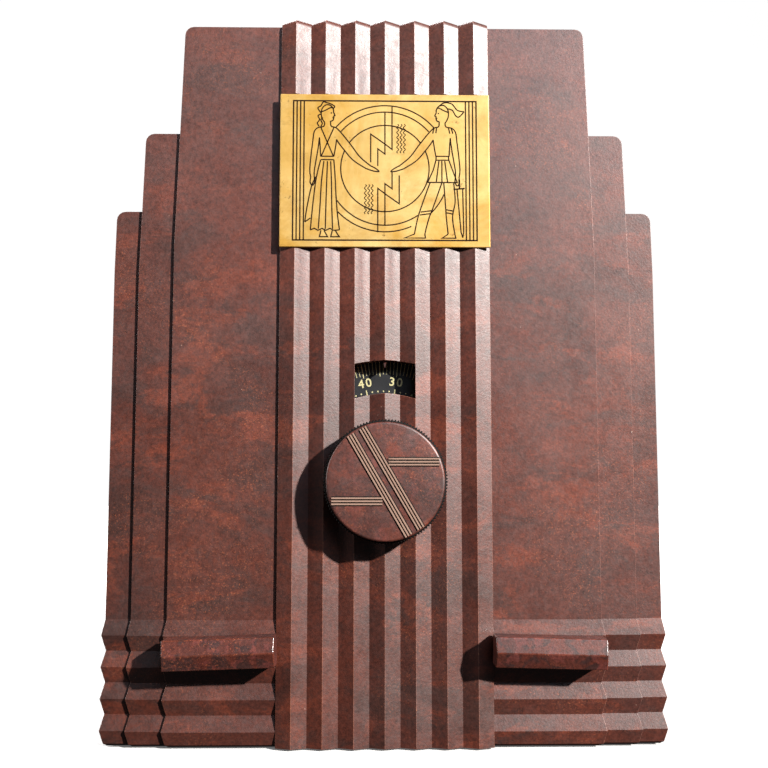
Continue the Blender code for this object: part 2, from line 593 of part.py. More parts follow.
def make_condenser(materials, tuning_axis):
    front, rear = GANG_Y
    base = AXIS_Z - GANG_DROP
    upright_top = AXIS_Z + 26 * MM
    middle = (front + rear) / 2
    walls = [front, middle - GANG_FRAME / 2, rear - GANG_FRAME]
    frame = add_object("condenser_frame", boxes(((-GANG_HALF, front, base), (GANG_HALF, rear, base + GANG_FRAME))),
                       materials["plated_steel"])
    uprights = [((-GANG_HALF + k * 0.1 * MM, y, base + GANG_FRAME / 2),
                 (GANG_HALF - k * 0.1 * MM, y + GANG_FRAME, upright_top)) for k, y in enumerate(walls, 1)]
    join(frame, boxes(*uprights), "uprights")
    frame_ends = (front - THROUGH, rear + THROUGH)
    rail_radius, rail_places = 1.3 * MM, [(-22 * MM, AXIS_Z + 8 * MM), (-22 * MM, AXIS_Z - 8 * MM)]
    holes = [(rod(5.9 * MM, front + THROUGH, rear - THROUGH, 16, "Y"), (0, 0, AXIS_Z)),
             (rod(BORE_RADIUS, frame_ends[0], front + THROUGH - GAP, 16, "Y"), (0, 0, AXIS_Z)),
             (rod(BORE_RADIUS, rear - THROUGH + GAP, frame_ends[1], 16, "Y"), (0, 0, AXIS_Z))]
    holes += [(rod(rail_radius + 0.5 * MM, *frame_ends, 10, "Y"), (x, 0, z)) for x, z in rail_places]
    cut(frame, merged(*holes), "bearings")

    bracket_low, bracket_top = CHASSIS_Z[1] + GAP, base - GAP
    bracket = add_object("condenser_bracket", boxes(((-20 * MM, front + 4 * MM, bracket_low),
                                                     (20 * MM, rear - 4 * MM, bracket_top))), materials["steel"])
    cut(bracket, boxes(((-20 * MM + GANG_FRAME, front, bracket_low - THROUGH),
                        (20 * MM - GANG_FRAME, rear, bracket_top - GANG_FRAME))), "bracket_inside")

    # The rotor's half discs leave the stator as the reading falls from 100 to 0.
    stator_angle = math.pi
    rest_angle = stator_angle + math.radians(1.8 * (100 - DIAL_READING))
    sleeve = [(BORE_RADIUS, front + 3 * MM), (5.2 * MM, front + 3 * MM), (5.2 * MM, rear - 3 * MM),
              (BORE_RADIUS, rear - 3 * MM)]
    rotor = add_object("condenser_rotor", turned(sleeve, 16, closed=True, along="Y"), materials["aluminium"],
                       (0, 0, 0), tuning_axis)
    rotor_plates, stator_plates = [], []
    for start in SECTION_STARTS:
        for k in range(ROTORS_PER_SECTION):
            y = start + k * PLATE_PITCH
            rotor_plates.append((half_disc(0, ROTOR_RADIUS, rest_angle, PLATE_SHEET, y), (0, 0, -AXIS_Z)))
            if k + 1 < ROTORS_PER_SECTION:
                y += PLATE_PITCH / 2
                stator_plates.append((half_disc(7.5 * MM, 24.5 * MM, stator_angle, PLATE_SHEET, y), (0, 0, 0)))
    join(rotor, merged(*rotor_plates), "rotor_plates")
    bore = rod(BORE_RADIUS, front - THROUGH, rear + THROUGH, 16, "Y")
    cut(rotor, bore, "rotor_bore")
    (x, z), (x2, z2) = rail_places
    rails = [(rod(rail_radius, front + 1 * MM, rear - 1 * MM, 10, "Y"), (x, 0, z)),
             (rod(rail_radius, front + 1 * MM, rear - 1 * MM, 10, "Y"), (x2, 0, z2))]
    stator = add_object("condenser_stator", merged(*stator_plates), materials["aluminium"])
    join(stator, merged(*rails), "rails")


# ---------------------------------------------------------------- controls

def make_tuning(materials, axis):
    """The knob, shaft and dial, all on the tuning axis, with their origins on it."""
    count = 2 * KNOB_TEETH
    ring = [(KNOB_RADIUS - (TOOTH_DEPTH if k % 2 else 0), 2 * math.pi * k / count) for k in range(count)]

    def section(y, shrink, teeth=True):
        points = [((r if teeth else KNOB_RADIUS - TOOTH_DEPTH) - shrink, t) for r, t in ring]
        return [(r * math.cos(t), y, r * math.sin(t)) for r, t in points]

    rim_y = KNOB_FACE_Y + 1.2 * MM
    rings = [section(KNOB_BACK_Y, 0), section(rim_y, 0), section(KNOB_FACE_Y, 0.9 * MM, False)]
    knob = add_object("tuning_knob", loft(rings), materials["bakelite"], (0, 0, 0), axis)
    hollow = [(9 * MM, KNOB_BACK_Y + THROUGH), (20 * MM, KNOB_BACK_Y + THROUGH),
              (19.4 * MM, KNOB_BACK_Y - 8 * MM), (9 * MM, KNOB_BACK_Y - 8 * MM)]
    cut(knob, turned(hollow, 28, closed=True, along="Y"), "knob_hollow")
    shaft_end = KNOB_FACE_Y + 4.5 * MM
    cut(knob, rod(BORE_RADIUS, shaft_end - GAP, KNOB_BACK_Y + THROUGH, 16, "Y"), "knob_bore")
    screw_y = KNOB_BACK_Y - 4 * MM
    cut(knob, merged((rod(2.0 * MM, -KNOB_RADIUS - THROUGH, -BORE_RADIUS + 0.5 * MM, 12), (0, screw_y, 0))),
        "screw_hole")
    add_object("knob_set_screw", rod(1.6 * MM, -9.5 * MM, -BORE_RADIUS - GAP, 12), materials["plated_steel"],
               (0, screw_y, 0), axis)
    add_object("tuning_shaft", rod(SHAFT_RADIUS, shaft_end, GANG_Y[1] + 3 * MM, 16, "Y"), materials["steel"],
               (0, 0, 0), axis, smooth=True)
    hub_rear = GANG_Y[0] - 3 * MM
    profile = [(BORE_RADIUS, DIAL_Y), (DIAL_RADIUS, DIAL_Y), (DIAL_RADIUS, DIAL_Y + 0.8 * MM),
               (8 * MM, DIAL_Y + 0.8 * MM), (8 * MM, hub_rear), (BORE_RADIUS, hub_rear)]
    add_object("dial_disc", turned(profile, 48, closed=True, along="Y"), materials["dial_black"], (0, 0, 0), axis)


def make_bar_control(materials, name, side, axis):
    """A bar knob shaped like one pleat, on its shaft, and the control behind it on the chassis."""
    corners = [(x, y, z) for x in (-BAR_HALF_LENGTH, BAR_HALF_LENGTH) for y in (BAR_BACK_Y, BAR_SHOULDER_Y)
               for z in (-BAR_HALF_HEIGHT, BAR_HALF_HEIGHT)]
    ridge = BAR_HALF_LENGTH - BAR_END_DRAFT
    corners += [(x, BAR_SHOULDER_Y - RELIEF, 0) for x in (-ridge, ridge)]
    bm = bmesh.new()
    for corner in corners:
        bm.verts.new(corner)
    bmesh.ops.convex_hull(bm, input=bm.verts)
    bar = add_object(f"{name}_bar_knob", bm, materials["bakelite"], (0, 0, 0), axis)
    shaft_end = BAR_SHOULDER_Y + 3 * MM
    cut(bar, rod(BORE_RADIUS, shaft_end - GAP, BAR_BACK_Y + THROUGH, 16, "Y"), f"{name}_bar_bore")
    apron = CHASSIS_Y[0] + SHEET + GAP
    bore_end = apron + 14 * MM
    add_object(f"{name}_shaft", rod(SHAFT_RADIUS, shaft_end, bore_end - 1 * MM, 16, "Y"), materials["steel"],
               (0, 0, 0), axis, smooth=True)
    profile = [(0, bore_end), (BORE_RADIUS, bore_end), (BORE_RADIUS, apron - 4.5 * MM), (4.8 * MM, apron - 4.5 * MM),
               (4.8 * MM, apron), (13 * MM, apron), (13 * MM, apron + 16 * MM), (11 * MM, apron + 16 * MM),
               (11 * MM, apron + 23 * MM), (0, apron + 23 * MM)]
    add_object(f"{name}_control", turned(profile, 22, along="Y"), materials["plated_steel"],
               (side * BAR_X, 0, BAR_Z), smooth=True)


def make_dial_lamp(materials):
    """The lamp above the dial, in a holder whose strap is screwed to the top of the condenser frame."""
    lamp_y, lamp_z = DIAL_Y + 13 * MM, AXIS_Z + DIAL_RADIUS + 6 * MM
    bulb = [(0, 2), (3.2, 2), (3.2, 0), (5.2, -5), (4.6, -9), (2.4, -11.4), (0, -12)]
    profile = [(r * MM, h * MM) for r, h in bulb]
    add_object("dial_lamp", turned(profile, 16, along="Y"), materials["valve_glass"], (0, lamp_y, lamp_z),
               smooth=True)
    holder_y = lamp_y + 2 * MM + GAP
    strap_low = AXIS_Z + 26 * MM + GAP
    strap_y = (holder_y + 6 * MM, holder_y + 7.2 * MM)
    holder = add_object("dial_lamp_bracket", rod(4.6 * MM, 0, 9 * MM, 16, "Y"), materials["brass"],
                        (0, holder_y, lamp_z))
    join(holder, boxes(((-4 * MM, strap_y[0], strap_low + 0.6 * MM), (4 * MM, strap_y[1], lamp_z))), "lamp_upright")
    foot_y = (strap_y[0] - 0.2 * MM, strap_y[1] + 9 * MM)
    join(holder, boxes(((-6 * MM, foot_y[0], strap_low), (6 * MM, foot_y[1], strap_low + 1.2 * MM))), "lamp_foot")


def main():
    for obj in list(bpy.data.objects):
        bpy.data.objects.remove(obj)
    materials = make_materials()
    make_cabinet(materials)
    make_feet(materials)
    make_plate(materials)
    make_back(materials)
    make_speaker(materials)
    make_chassis(materials)
    for valve in VALVES:
        make_valve(materials, *valve)
    make_chassis_parts(materials)
    tuning_axis = add_axis("tuning_axis", (0, 0, AXIS_Z))
    make_condenser(materials, tuning_axis)
    make_tuning(materials, tuning_axis)
    for name, side in (("volume", -1), ("tone", 1)):
        axis = add_axis(f"{name}_axis", (side * BAR_X, 0, BAR_Z))
        axis.rotation_euler.y = BAR_TILTS[name]
        make_bar_control(materials, name, side, axis)
    make_dial_lamp(materials)


main()
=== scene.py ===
"""Looks for the table radio: materials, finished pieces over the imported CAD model, light and camera."""

import json
import math

import bmesh
import bpy
from mathutils import Matrix, Vector


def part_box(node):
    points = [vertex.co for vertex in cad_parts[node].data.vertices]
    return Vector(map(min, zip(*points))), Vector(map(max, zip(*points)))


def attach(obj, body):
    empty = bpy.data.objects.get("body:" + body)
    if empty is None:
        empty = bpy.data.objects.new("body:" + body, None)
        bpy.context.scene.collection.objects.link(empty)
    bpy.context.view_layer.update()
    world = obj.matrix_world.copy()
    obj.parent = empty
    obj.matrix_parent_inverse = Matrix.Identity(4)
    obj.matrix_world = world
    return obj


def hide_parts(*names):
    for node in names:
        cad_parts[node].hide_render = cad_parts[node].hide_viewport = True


MM = 0.001
MERGE = 2e-6  # vertices closer than this are one, in metres
SHARP = math.radians(24)  # CAD edges that bend more than this are rounded
FLAT = math.radians(0.4)  # faces that bend less than this are merged
SMOOTH = math.radians(38)  # edges that bend less than this are shaded smooth
GLINT_EDGE_BEND = math.radians(33)  # how far a bevel's faces turn outwards at the edges that take the lighter edge material: wear and a painted glint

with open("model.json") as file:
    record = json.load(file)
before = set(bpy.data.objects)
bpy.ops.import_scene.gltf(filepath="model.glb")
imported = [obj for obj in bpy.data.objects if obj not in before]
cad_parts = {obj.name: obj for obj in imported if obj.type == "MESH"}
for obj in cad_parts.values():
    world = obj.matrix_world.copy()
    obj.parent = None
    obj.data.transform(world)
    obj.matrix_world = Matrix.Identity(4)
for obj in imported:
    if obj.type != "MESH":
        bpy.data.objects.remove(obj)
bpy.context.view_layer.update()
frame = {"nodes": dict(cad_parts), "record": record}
nodes = frame["nodes"]


# ---------------------------------------------------------------- shader building

def srgb(red, green, blue):
    """A display colour from 0 to 255 as linear light."""
    def linear(value):
        value /= 255
        return value / 12.92 if value <= 0.04045 else ((value + 0.055) / 1.055) ** 2.4
    return (linear(red), linear(green), linear(blue), 1.0)


class Look:
    """A node material under construction, with short calls for the nodes it uses."""

    def __init__(self, name):
        self.material = bpy.data.materials.new(name)
        self.material.use_nodes = True
        self.tree = self.material.node_tree
        self.shader = self.tree.nodes["Principled BSDF"]
        self.place = self.tree.nodes.new("ShaderNodeTexCoord").outputs["Object"]

    def feed(self, socket, value):
        if isinstance(value, bpy.types.NodeSocket):
            self.tree.links.new(value, socket)
        elif value is not None:
            socket.default_value = value

    def node(self, kind, inputs=(), output=0, **settings):
        made = self.tree.nodes.new("ShaderNode" + kind)
        for key, value in settings.items():
            setattr(made, key, value)
        for key, value in dict(inputs).items():
            self.feed(made.inputs[key], value)
        return made.outputs[output]

    def set(self, **inputs):
        for key, value in inputs.items():
            self.feed(self.shader.inputs[key.replace("_", " ")], value)

    def stretched(self, x=1.0, y=1.0, z=1.0):
        return self.node("Mapping", {"Vector": self.place, "Scale": (x, y, z)})

    def noise(self, scale, detail=2.0, rough=0.5, warp=0.0, at=None):
        inputs = {"Vector": at or self.place, "Scale": scale, "Detail": detail, "Roughness": rough, "Distortion": warp}
        return self.node("TexNoise", inputs)

    def band(self, value, low, high, start=0.0, end=1.0):
        """Maps value from low..high to start..end, clamped."""
        inputs = {"Value": value, "From Min": low, "From Max": high, "To Min": start, "To Max": end}
        return self.node("MapRange", inputs)

    def maths(self, operation, a, b=None, c=None):
        made = self.tree.nodes.new("ShaderNodeMath")
        made.operation = operation
        for socket, value in zip(made.inputs, (a, b, c)):
            self.feed(socket, value)
        return made.outputs[0]

    def mix(self, share, a, b, blend="MIX"):
        made = self.tree.nodes.new("ShaderNodeMix")
        made.data_type = "RGBA"
        made.blend_type = blend
        self.feed(made.inputs["Factor"], share)
        self.feed(made.inputs["A"], a)
        self.feed(made.inputs["B"], b)
        return made.outputs["Result"]

    def axes(self):
        made = self.tree.nodes.new("ShaderNodeSeparateXYZ")
        self.feed(made.inputs[0], self.place)
        return made.outputs

    def bump(self, height, distance, strength=1.0, under=None):
        inputs = {"Height": height, "Distance": distance, "Strength": strength, "Normal": under}
        return self.node("Bump", inputs)


def bakelite(name, clouds=1.0, marble=0.0, tint=(1.0, 1.0, 1.0), shift=(0.0, 0.0, 0.0), painted_light=False, gloss=0.0,
             shine=0.85):
    """Mottled red-brown phenolic: flame-shaped rusty and smoky clouds, a dull bloom, fine pale specks and grain.

    With its light-and-shade flag set, light and shade are painted into the colour: lighter towards the sunlit
    right-hand side, darker towards the foot, most of all at the lower left, and paler and less rusty towards the top,
    a painted sheen.
    """
    look = Look(name)
    x, _, z = look.axes()
    look.place = look.node("Mapping", {"Vector": look.place, "Location": shift})
    flames = look.stretched(0.55, 1.0, 1.2)
    base = look.mix(look.band(look.noise(15, 6, 0.62, 0.6), 0.36, 0.64), srgb(98, 44, 29), srgb(76, 36, 27))
    smoke = look.band(look.noise(44, 6, 0.64, 0.9, flames), 0.50, 0.61, 0.0, 0.60 * clouds)
    base = look.mix(smoke, base, srgb(58, 36, 31))
    # painted sheen: from this height up the rust thins and the pale bloom thickens, standing in for the sheen the top
    # catches
    upper = look.band(z, 0.14, 0.27) if painted_light else 0.0
    rust = look.band(look.noise(62, 8, 0.68, 0.4, flames), 0.53, 0.60, 0.0, 0.44 * clouds)
    rust = look.maths("MULTIPLY", rust, look.band(upper, 0.0, 1.0, 1.0, 0.45))
    base = look.mix(rust, base, srgb(130, 57, 34))
    if marble:
        veins = look.band(look.noise(150, 3, 0.5, 0.6), 0.48, 0.55, 0.0, marble)
        base = look.mix(veins, base, srgb(46, 34, 32))
        streaks = look.band(look.noise(190, 4, 0.55, 0.5), 0.54, 0.61, 0.0, marble)
        base = look.mix(streaks, base, srgb(108, 54, 46))
    bloom = look.band(look.noise(22, 7, 0.72, 0.5), 0.42, 0.68, 0.0, 0.12)
    # the bloom thickens towards the top as a painted sheen
    bloom = look.maths("ADD", bloom, look.maths("MULTIPLY", upper, 0.22))
    base = look.mix(bloom, base, srgb(112, 78, 72))
    base = look.mix(1.0, base, look.band(look.noise(760, 6, 0.84), 0.34, 0.66, 0.46, 1.58), "MULTIPLY")
    patch = look.maths("ADD", rust, look.band(look.noise(20, 5, 0.65, 0.6), 0.48, 0.62))
    speck = look.maths("MULTIPLY", look.band(look.noise(1500, 3, 0.6), 0.57, 0.68), patch)
    base = look.mix(look.maths("MULTIPLY", speck, 0.65), base, srgb(164, 90, 58))
    cell = look.node("TexVoronoi", {"Vector": look.place, "Scale": 170.0}, output="Distance")
    dust = look.maths("MULTIPLY", look.band(cell, 0.046, 0.026), look.band(look.noise(70, 2), 0.60, 0.66))
    base = look.mix(look.maths("MULTIPLY", dust, 0.7), base, srgb(180, 140, 118))
    base = look.mix(1.0, base, (*tint, 1.0), "MULTIPLY")
    # painted light and shade: lighter towards the sunlit right, darker towards the foot, most at the lower left
    if painted_light:
        foot = look.band(z, 0.0, 0.16, look.band(x, -0.11, 0.11, 0.61, 0.83), 1.0)
        painted_light_and_shade = look.maths("MULTIPLY", look.band(x, -0.11, 0.11, 0.90, 1.17), foot)
        base = look.mix(1.0, base, painted_light_and_shade, "MULTIPLY")
    haze = look.noise(34, 6, 0.7, 0.5)
    scuff = look.noise(300, 5, 0.78)
    rough = look.maths("ADD", look.band(haze, 0.3, 0.7, 0.39 - gloss, 0.50 - gloss),
                       look.band(scuff, 0.45, 0.75, -0.02, 0.10))
    ripple = look.bump(look.noise(90, 3, 0.5), 0.14 * MM, 0.5)
    skin = look.bump(look.noise(1100, 4, 0.7), 0.07 * MM, 0.9, ripple)
    skin = look.bump(look.maths("MULTIPLY", dust, -1.0), 0.10 * MM, 0.6, skin)
    look.set(Base_Color=base, Roughness=rough, Normal=skin, Specular_IOR_Level=shine, IOR=1.56)
    return look.material


def worn_brass(name):
    """The plate's lacquered brass: golden, satin, brushed a little, with pale wear, a brown bloom and specks."""
    look = Look(name)
    tone = look.mix(look.band(look.noise(19, 6, 0.66, 0.8), 0.38, 0.62), srgb(216, 166, 74), srgb(240, 206, 134))
    tone = look.mix(look.band(look.noise(38, 8, 0.75, 0.6), 0.50, 0.70, 0.0, 0.55), tone, srgb(188, 134, 52))
    tone = look.mix(look.band(look.noise(85, 8, 0.78, 0.4), 0.58, 0.74, 0.0, 0.55), tone, srgb(158, 106, 40))
    spots = look.band(look.noise(330, 4, 0.7), 0.65, 0.74, 0.0, 0.75)
    tone = look.mix(spots, tone, srgb(112, 70, 26))
    brush = look.noise(420, 3, 0.6, 0.0, look.stretched(0.05, 1.0, 1.0))
    rough = look.maths("ADD", look.band(look.noise(60, 5, 0.65), 0.3, 0.7, 0.34, 0.50),
                       look.band(brush, 0.4, 0.7, -0.03, 0.05))
    normal = look.bump(brush, 0.02 * MM, 0.5, look.bump(look.noise(500, 4, 0.65), 0.035 * MM, 0.7))
    look.set(Base_Color=tone, Metallic=0.4, Roughness=rough, Normal=normal)
    return look.material


def plain_metal(name, colour, dark, rough=0.4, brushed=(1.0, 1.0, 1.0), metallic=1.0):
    """Sheet or turned metal with faint grain, smears and a little tarnish."""
    look = Look(name)
    smear = look.band(look.noise(45, 5, 0.65, 0.7), 0.4, 0.75, 0.0, 0.7)
    tone = look.mix(smear, colour, dark)
    grain = look.noise(600, 3, 0.6, 0.0, look.stretched(*brushed))
    spread = look.maths("ADD", look.band(look.noise(90, 4), 0.3, 0.7, rough - 0.06, rough + 0.08),
                        look.band(grain, 0.3, 0.7, -0.04, 0.04))
    look.set(Base_Color=tone, Metallic=metallic, Roughness=spread, Normal=look.bump(grain, 0.03 * MM, 0.5))
    return look.material


def enamel(name, colour, scratch, rough=0.45, shine=0.5):
    """Stoved enamel or lacquer with fine orange peel and rubbed spots."""
    look = Look(name)
    rub = look.band(look.noise(140, 5, 0.7), 0.60, 0.78, 0.0, 0.6)
    peel = look.noise(520, 2)
    tone = look.mix(rub, colour, scratch)
    spread = look.band(look.noise(80, 4), 0.3, 0.7, rough - 0.06, rough + 0.1)
    look.set(Base_Color=tone, Roughness=spread, Normal=look.bump(peel, 0.05 * MM, 0.5), Specular_IOR_Level=shine)
    return look.material


def felted(name, colour, lighter, scale=900, depth=0.25):
    """Short tangled fibres, for felt, pulp and pressed board."""
    look = Look(name)
    fibres = look.noise(scale, 5, 0.75, 1.5)
    blotch = look.noise(60, 4, 0.6)
    tone = look.mix(look.band(fibres, 0.4, 0.65), colour, lighter)
    tone = look.mix(look.band(blotch, 0.45, 0.7, 0.0, 0.35), tone, colour)
    spread = look.band(fibres, 0.3, 0.7, 0.82, 0.97)
    look.set(Base_Color=tone, Roughness=spread, Normal=look.bump(fibres, depth * MM, 0.7))
    return look.material


def woven(name, warp, weft, pitch):
    """Plain weave in the XZ plane."""
    look = Look(name)
    x, _, z = look.axes()
    turn = 2 * math.pi / pitch
    across = look.maths("SINE", look.maths("MULTIPLY", x, turn))
    up = look.maths("SINE", look.maths("MULTIPLY", z, turn))
    over = look.maths("MULTIPLY", across, up)
    height = look.maths("MAXIMUM", look.maths("ABSOLUTE", across), look.maths("ABSOLUTE", up))
    slub = look.noise(500, 3, 0.6, 0.0, look.stretched(0.1, 1.0, 1.0))
    tone = look.mix(look.band(over, -0.2, 0.2), warp, weft)
    tone = look.mix(look.band(slub, 0.45, 0.75, 0.0, 0.5), tone, warp)
    spread = look.band(slub, 0.3, 0.7, 0.85, 0.98)
    look.set(Base_Color=tone, Roughness=spread, Normal=look.bump(height, 0.2 * MM, 0.8))
    return look.material


def clear_glass(name):
    """Valve glass with a trace of smoke."""
    look = Look(name)
    smoke = look.band(look.noise(50, 3), 0.4, 0.7, 0.03, 0.09)
    look.set(Base_Color=(0.93, 0.96, 0.95, 1.0), Roughness=smoke, Transmission_Weight=1.0, IOR=1.45)
    return look.material


# ---------------------------------------------------------------- mesh helpers

def mesh_object(name, bm, material, body, smooth=True, replaces=(), edges=None):
    """Makes a named piece that rides on a CAD body. edges is the material of faces with index 1."""
    bmesh.ops.recalc_face_normals(bm, faces=bm.faces)
    mesh = bpy.data.meshes.new(name)
    bm.to_mesh(mesh)
    bm.free()
    if smooth:
        mesh.shade_smooth()
        mesh.set_sharp_from_angle(angle=SMOOTH)
    mesh.materials.append(material)
    if edges:
        mesh.materials.append(edges)
    obj = bpy.data.objects.new(name, mesh)
    bpy.context.scene.collection.objects.link(obj)
    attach(obj, body)
    if replaces:
        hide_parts(*replaces)
    return obj


def lathe(profile, segments, origin, axis="Y"):
    """Spins a profile of (radius, distance along the axis) about an axis through origin."""
    bm = bmesh.new()
    verts = [bm.verts.new((radius, 0, along)) for radius, along in profile]
    edges = [bm.edges.new(pair) for pair in zip(verts, verts[1:])]
    bmesh.ops.spin(bm, geom=verts + edges, cent=(0, 0, 0), axis=(0, 0, 1), angle=2 * math.pi, steps=segments,
                   use_merge=True)
    bmesh.ops.remove_doubles(bm, verts=bm.verts, dist=1e-6)
    if axis == "Y":
        bmesh.ops.rotate(bm, verts=bm.verts, cent=(0, 0, 0), matrix=Matrix.Rotation(-math.pi / 2, 3, "X"))
    bmesh.ops.translate(bm, verts=bm.verts, vec=origin)
    return bm


def stroke(bm, points, width, front, thick, closed=False, slope=0.0):
    """Adds a solid line along (x, z) points, facing -Y, with mitred corners. slope narrows its front face."""
    count = len(points)
    flat = [Vector(point) for point in points]
    sides = []
    for k, here in enumerate(flat):
        before = flat[k - 1] if (k or closed) else None
        after = flat[(k + 1) % count] if (k < count - 1 or closed) else None
        ways = []
        if before is not None:
            ways.append((here - before).normalized())
        if after is not None:
            ways.append((after - here).normalized())
        normals = [Vector((-w.y, w.x)) for w in ways]
        mitre = sum(normals, Vector((0, 0)))
        mitre = mitre.normalized() if mitre.length > 1e-6 else normals[0]
        reach = 1 / max(0.35, mitre.dot(normals[0]))
        sides.append((here, mitre * reach))
    rings = []
    for here, out in sides:
        wide, narrow = out * width / 2, out * (width / 2 - slope)
        corners = ((here - wide, front + thick), (here + wide, front + thick), (here + narrow, front),
                   (here - narrow, front))
        rings.append([bm.verts.new((corner.x, y, corner.y)) for corner, y in corners])
    pairs = list(zip(rings, rings[1:]))
    if closed:
        pairs.append((rings[-1], rings[0]))
    for one, two in pairs:
        for k in range(4):
            n = (k + 1) % 4
            bm.faces.new((one[k], one[n], two[n], two[k]))
    if not closed:
        bm.faces.new(rings[0])
        bm.faces.new(rings[-1][::-1])


def arc(centre, radius, start, end, steps):
    """Points on a circle, with angles in degrees measured from +X towards +Z."""
    turns = [math.radians(start + (end - start) * k / steps) for k in range(steps + 1)]
    return [(centre[0] + radius * math.cos(t), centre[1] + radius * math.sin(t)) for t in turns]


def curve_through(points, steps=6):
    """A smooth line through points, for drapery and limbs."""
    ends = [points[0], *points, points[-1]]
    line = []
    for k in range(1, len(ends) - 2):
        p0, p1, p2, p3 = (Vector(p) for p in ends[k - 1:k + 3])
        for step in range(steps):
            t = step / steps
            line.append(0.5 * ((2 * p1) + (p2 - p0) * t + (2 * p0 - 5 * p1 + 4 * p2 - p3) * t * t
                               + (3 * p1 - p0 - 3 * p2 + p3) * t ** 3))
    line.append(Vector(points[-1]))
    return line


def refined(node, width, segments, material, wear_and_glint_edges=None, crease=None):
    """Stands a copy with rounded edges in for a CAD node.

    Its second material goes on its outward edges, lighter there as wear and a painted glint, and crease is a height at
    which its shading breaks.
    """
    source = nodes[node]
    bm = bmesh.new()
    bm.from_mesh(source.data)
    bmesh.ops.remove_doubles(bm, verts=bm.verts, dist=MERGE)
    bmesh.ops.dissolve_limit(bm, angle_limit=FLAT, verts=bm.verts, edges=bm.edges)
    sharp = [edge for edge in bm.edges if len(edge.link_faces) == 2 and edge.calc_face_angle(0) > SHARP]
    rounded = bmesh.ops.bevel(bm, geom=sharp, offset=width, segments=segments, profile=0.5, affect="EDGES",
                              clamp_overlap=True)["faces"]
    bm.normal_update()
    # outward-bent bevel faces get the second, lighter material: wear and a painted glint
    for face in rounded if wear_and_glint_edges else ():
        bend = sum(edge.calc_face_angle_signed(0) for edge in face.edges)
        face.material_index = 1 if bend > GLINT_EDGE_BEND else 0
    bmesh.ops.remove_doubles(bm, verts=bm.verts, dist=MERGE)
    piece = mesh_object(f"{node}_finished", bm, material, body_of_node[node], replaces=(node,), edges=wear_and_glint_edges)
    level = {vert.index for vert in piece.data.vertices if crease and abs(vert.co.z - crease) < 0.1 * MM}
    for edge in piece.data.edges:
        if level.issuperset(edge.vertices):
            edge.use_edge_sharp = True
    normals = piece.modifiers.new("normals", "WEIGHTED_NORMAL")
    normals.weight = 100
    normals.keep_sharp = True


# ---------------------------------------------------------------- where things are

record = frame["record"]
material_slots = {part["node"]: part["material_slot"] for part in record["subparts"]}
body_of_node = {node: body for body, listed in record["behaviour"]["bodies"].items() for node in listed}
joints = {joint["name"]: joint for joint in record["behaviour"]["joints"]}
tuning_z = joints["tuning_turn"]["pos_m"][2]
knob_low, knob_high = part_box("tuning_knob")
plate_low, plate_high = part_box("escutcheon_plate")
dial_low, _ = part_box("dial_disc")
shell_low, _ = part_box("cabinet_shell")
cloth_low, cloth_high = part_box("grille_cloth")
FLUTE = 12.3 * MM  # width of one flute, and height of one pleat
PLEATS = 4
READING = 33.6  # what the dial shows at rest


# ---------------------------------------------------------------- looks

looks = {
    # the cabinet's colour carries painted light and shade: lighter to the right, darker at the foot, a painted sheen
    # at the top
    "bakelite": bakelite("bakelite_cabinet", painted_light=True),
    # much lighter, glossier edges: a painted highlight for the sun's glint along the cabinet's edges, with a little
    # wear
    "bakelite_edge_glint_and_wear": bakelite("bakelite_painted_edge_glint_and_wear", 0.3, 0.0, (3.0, 5.2, 6.2), painted_light=True, gloss=0.07, shine=1.0),
    "bakelite_bars": bakelite("bakelite_bars", 0.4, 0.7, (0.88, 0.86, 0.92), (0.31, 0.12, 0.07), shine=0.4),
    # lighter, glossier bar edges: wear with a painted glint
    "bar_edge_wear_and_glint": bakelite("bar_worn_edges_and_glint", 0.4, 0.5, (1.2, 1.25, 1.25), (0.31, 0.12, 0.07), gloss=0.20),
    "bakelite_knob": bakelite("bakelite_knob", 0.7, 0.4, (0.96, 0.98, 1.04), (0.11, 0.4, 0.2)),
    # pale ridges: partly wear, partly a painted highlight
    "knob_ridges": enamel("ridges_worn_and_highlit", srgb(158, 128, 112), srgb(96, 62, 52), 0.4),
    # nearly black: the knob's skirt and the strips between its ridges
    "knob_near_black": enamel("near_black_moulding", srgb(11, 8, 7), srgb(30, 18, 15), 0.7, 0.25),
    "brass": worn_brass("plate_brass"),
    "lines": enamel("engraving_fill", srgb(44, 26, 10), srgb(78, 48, 20), 0.75, 0.15),
    "dial_black": enamel("dial_enamel", srgb(26, 27, 30), srgb(52, 50, 48), 0.5),
    "dial_marks": enamel("dial_marks", srgb(196, 188, 140), srgb(150, 138, 92), 0.6),
    "steel": plain_metal("turned_steel", srgb(172, 172, 170), srgb(120, 112, 104), 0.38, (1.0, 0.05, 1.0)),
    "plated_steel": plain_metal("cadmium_plate", srgb(190, 188, 178), srgb(134, 128, 112), 0.42),
    "aluminium": plain_metal("spun_aluminium", srgb(206, 207, 210), srgb(168, 168, 170), 0.34, (1.0, 1.0, 0.05)),
    "valve_glass": clear_glass("valve_glass"),
    "valve_base": enamel("valve_base_moulding", srgb(34, 22, 17), srgb(60, 40, 32), 0.35),
    "black_iron": enamel("black_lacquer", srgb(30, 30, 32), srgb(64, 60, 58), 0.5),
    "paper_cone": felted("cone_pulp", srgb(52, 47, 43), srgb(78, 70, 62), 700, 0.15),
    "cloth": woven("grille_weave", srgb(150, 118, 76), srgb(96, 70, 44), 1.1 * MM),
    "felt": felted("felt_pad", srgb(70, 66, 62), srgb(104, 98, 92)),
    "fibre": felted("pressed_board", srgb(110, 76, 50), srgb(146, 106, 74), 520, 0.12),
    "rubber": enamel("rubber_moulding", srgb(26, 26, 26), srgb(48, 46, 44), 0.75),
}
for node, obj in nodes.items():
    obj.data.materials.clear()
    obj.data.materials.append(looks[material_slots[node]])


# ---------------------------------------------------------------- cabinet, plate and bars

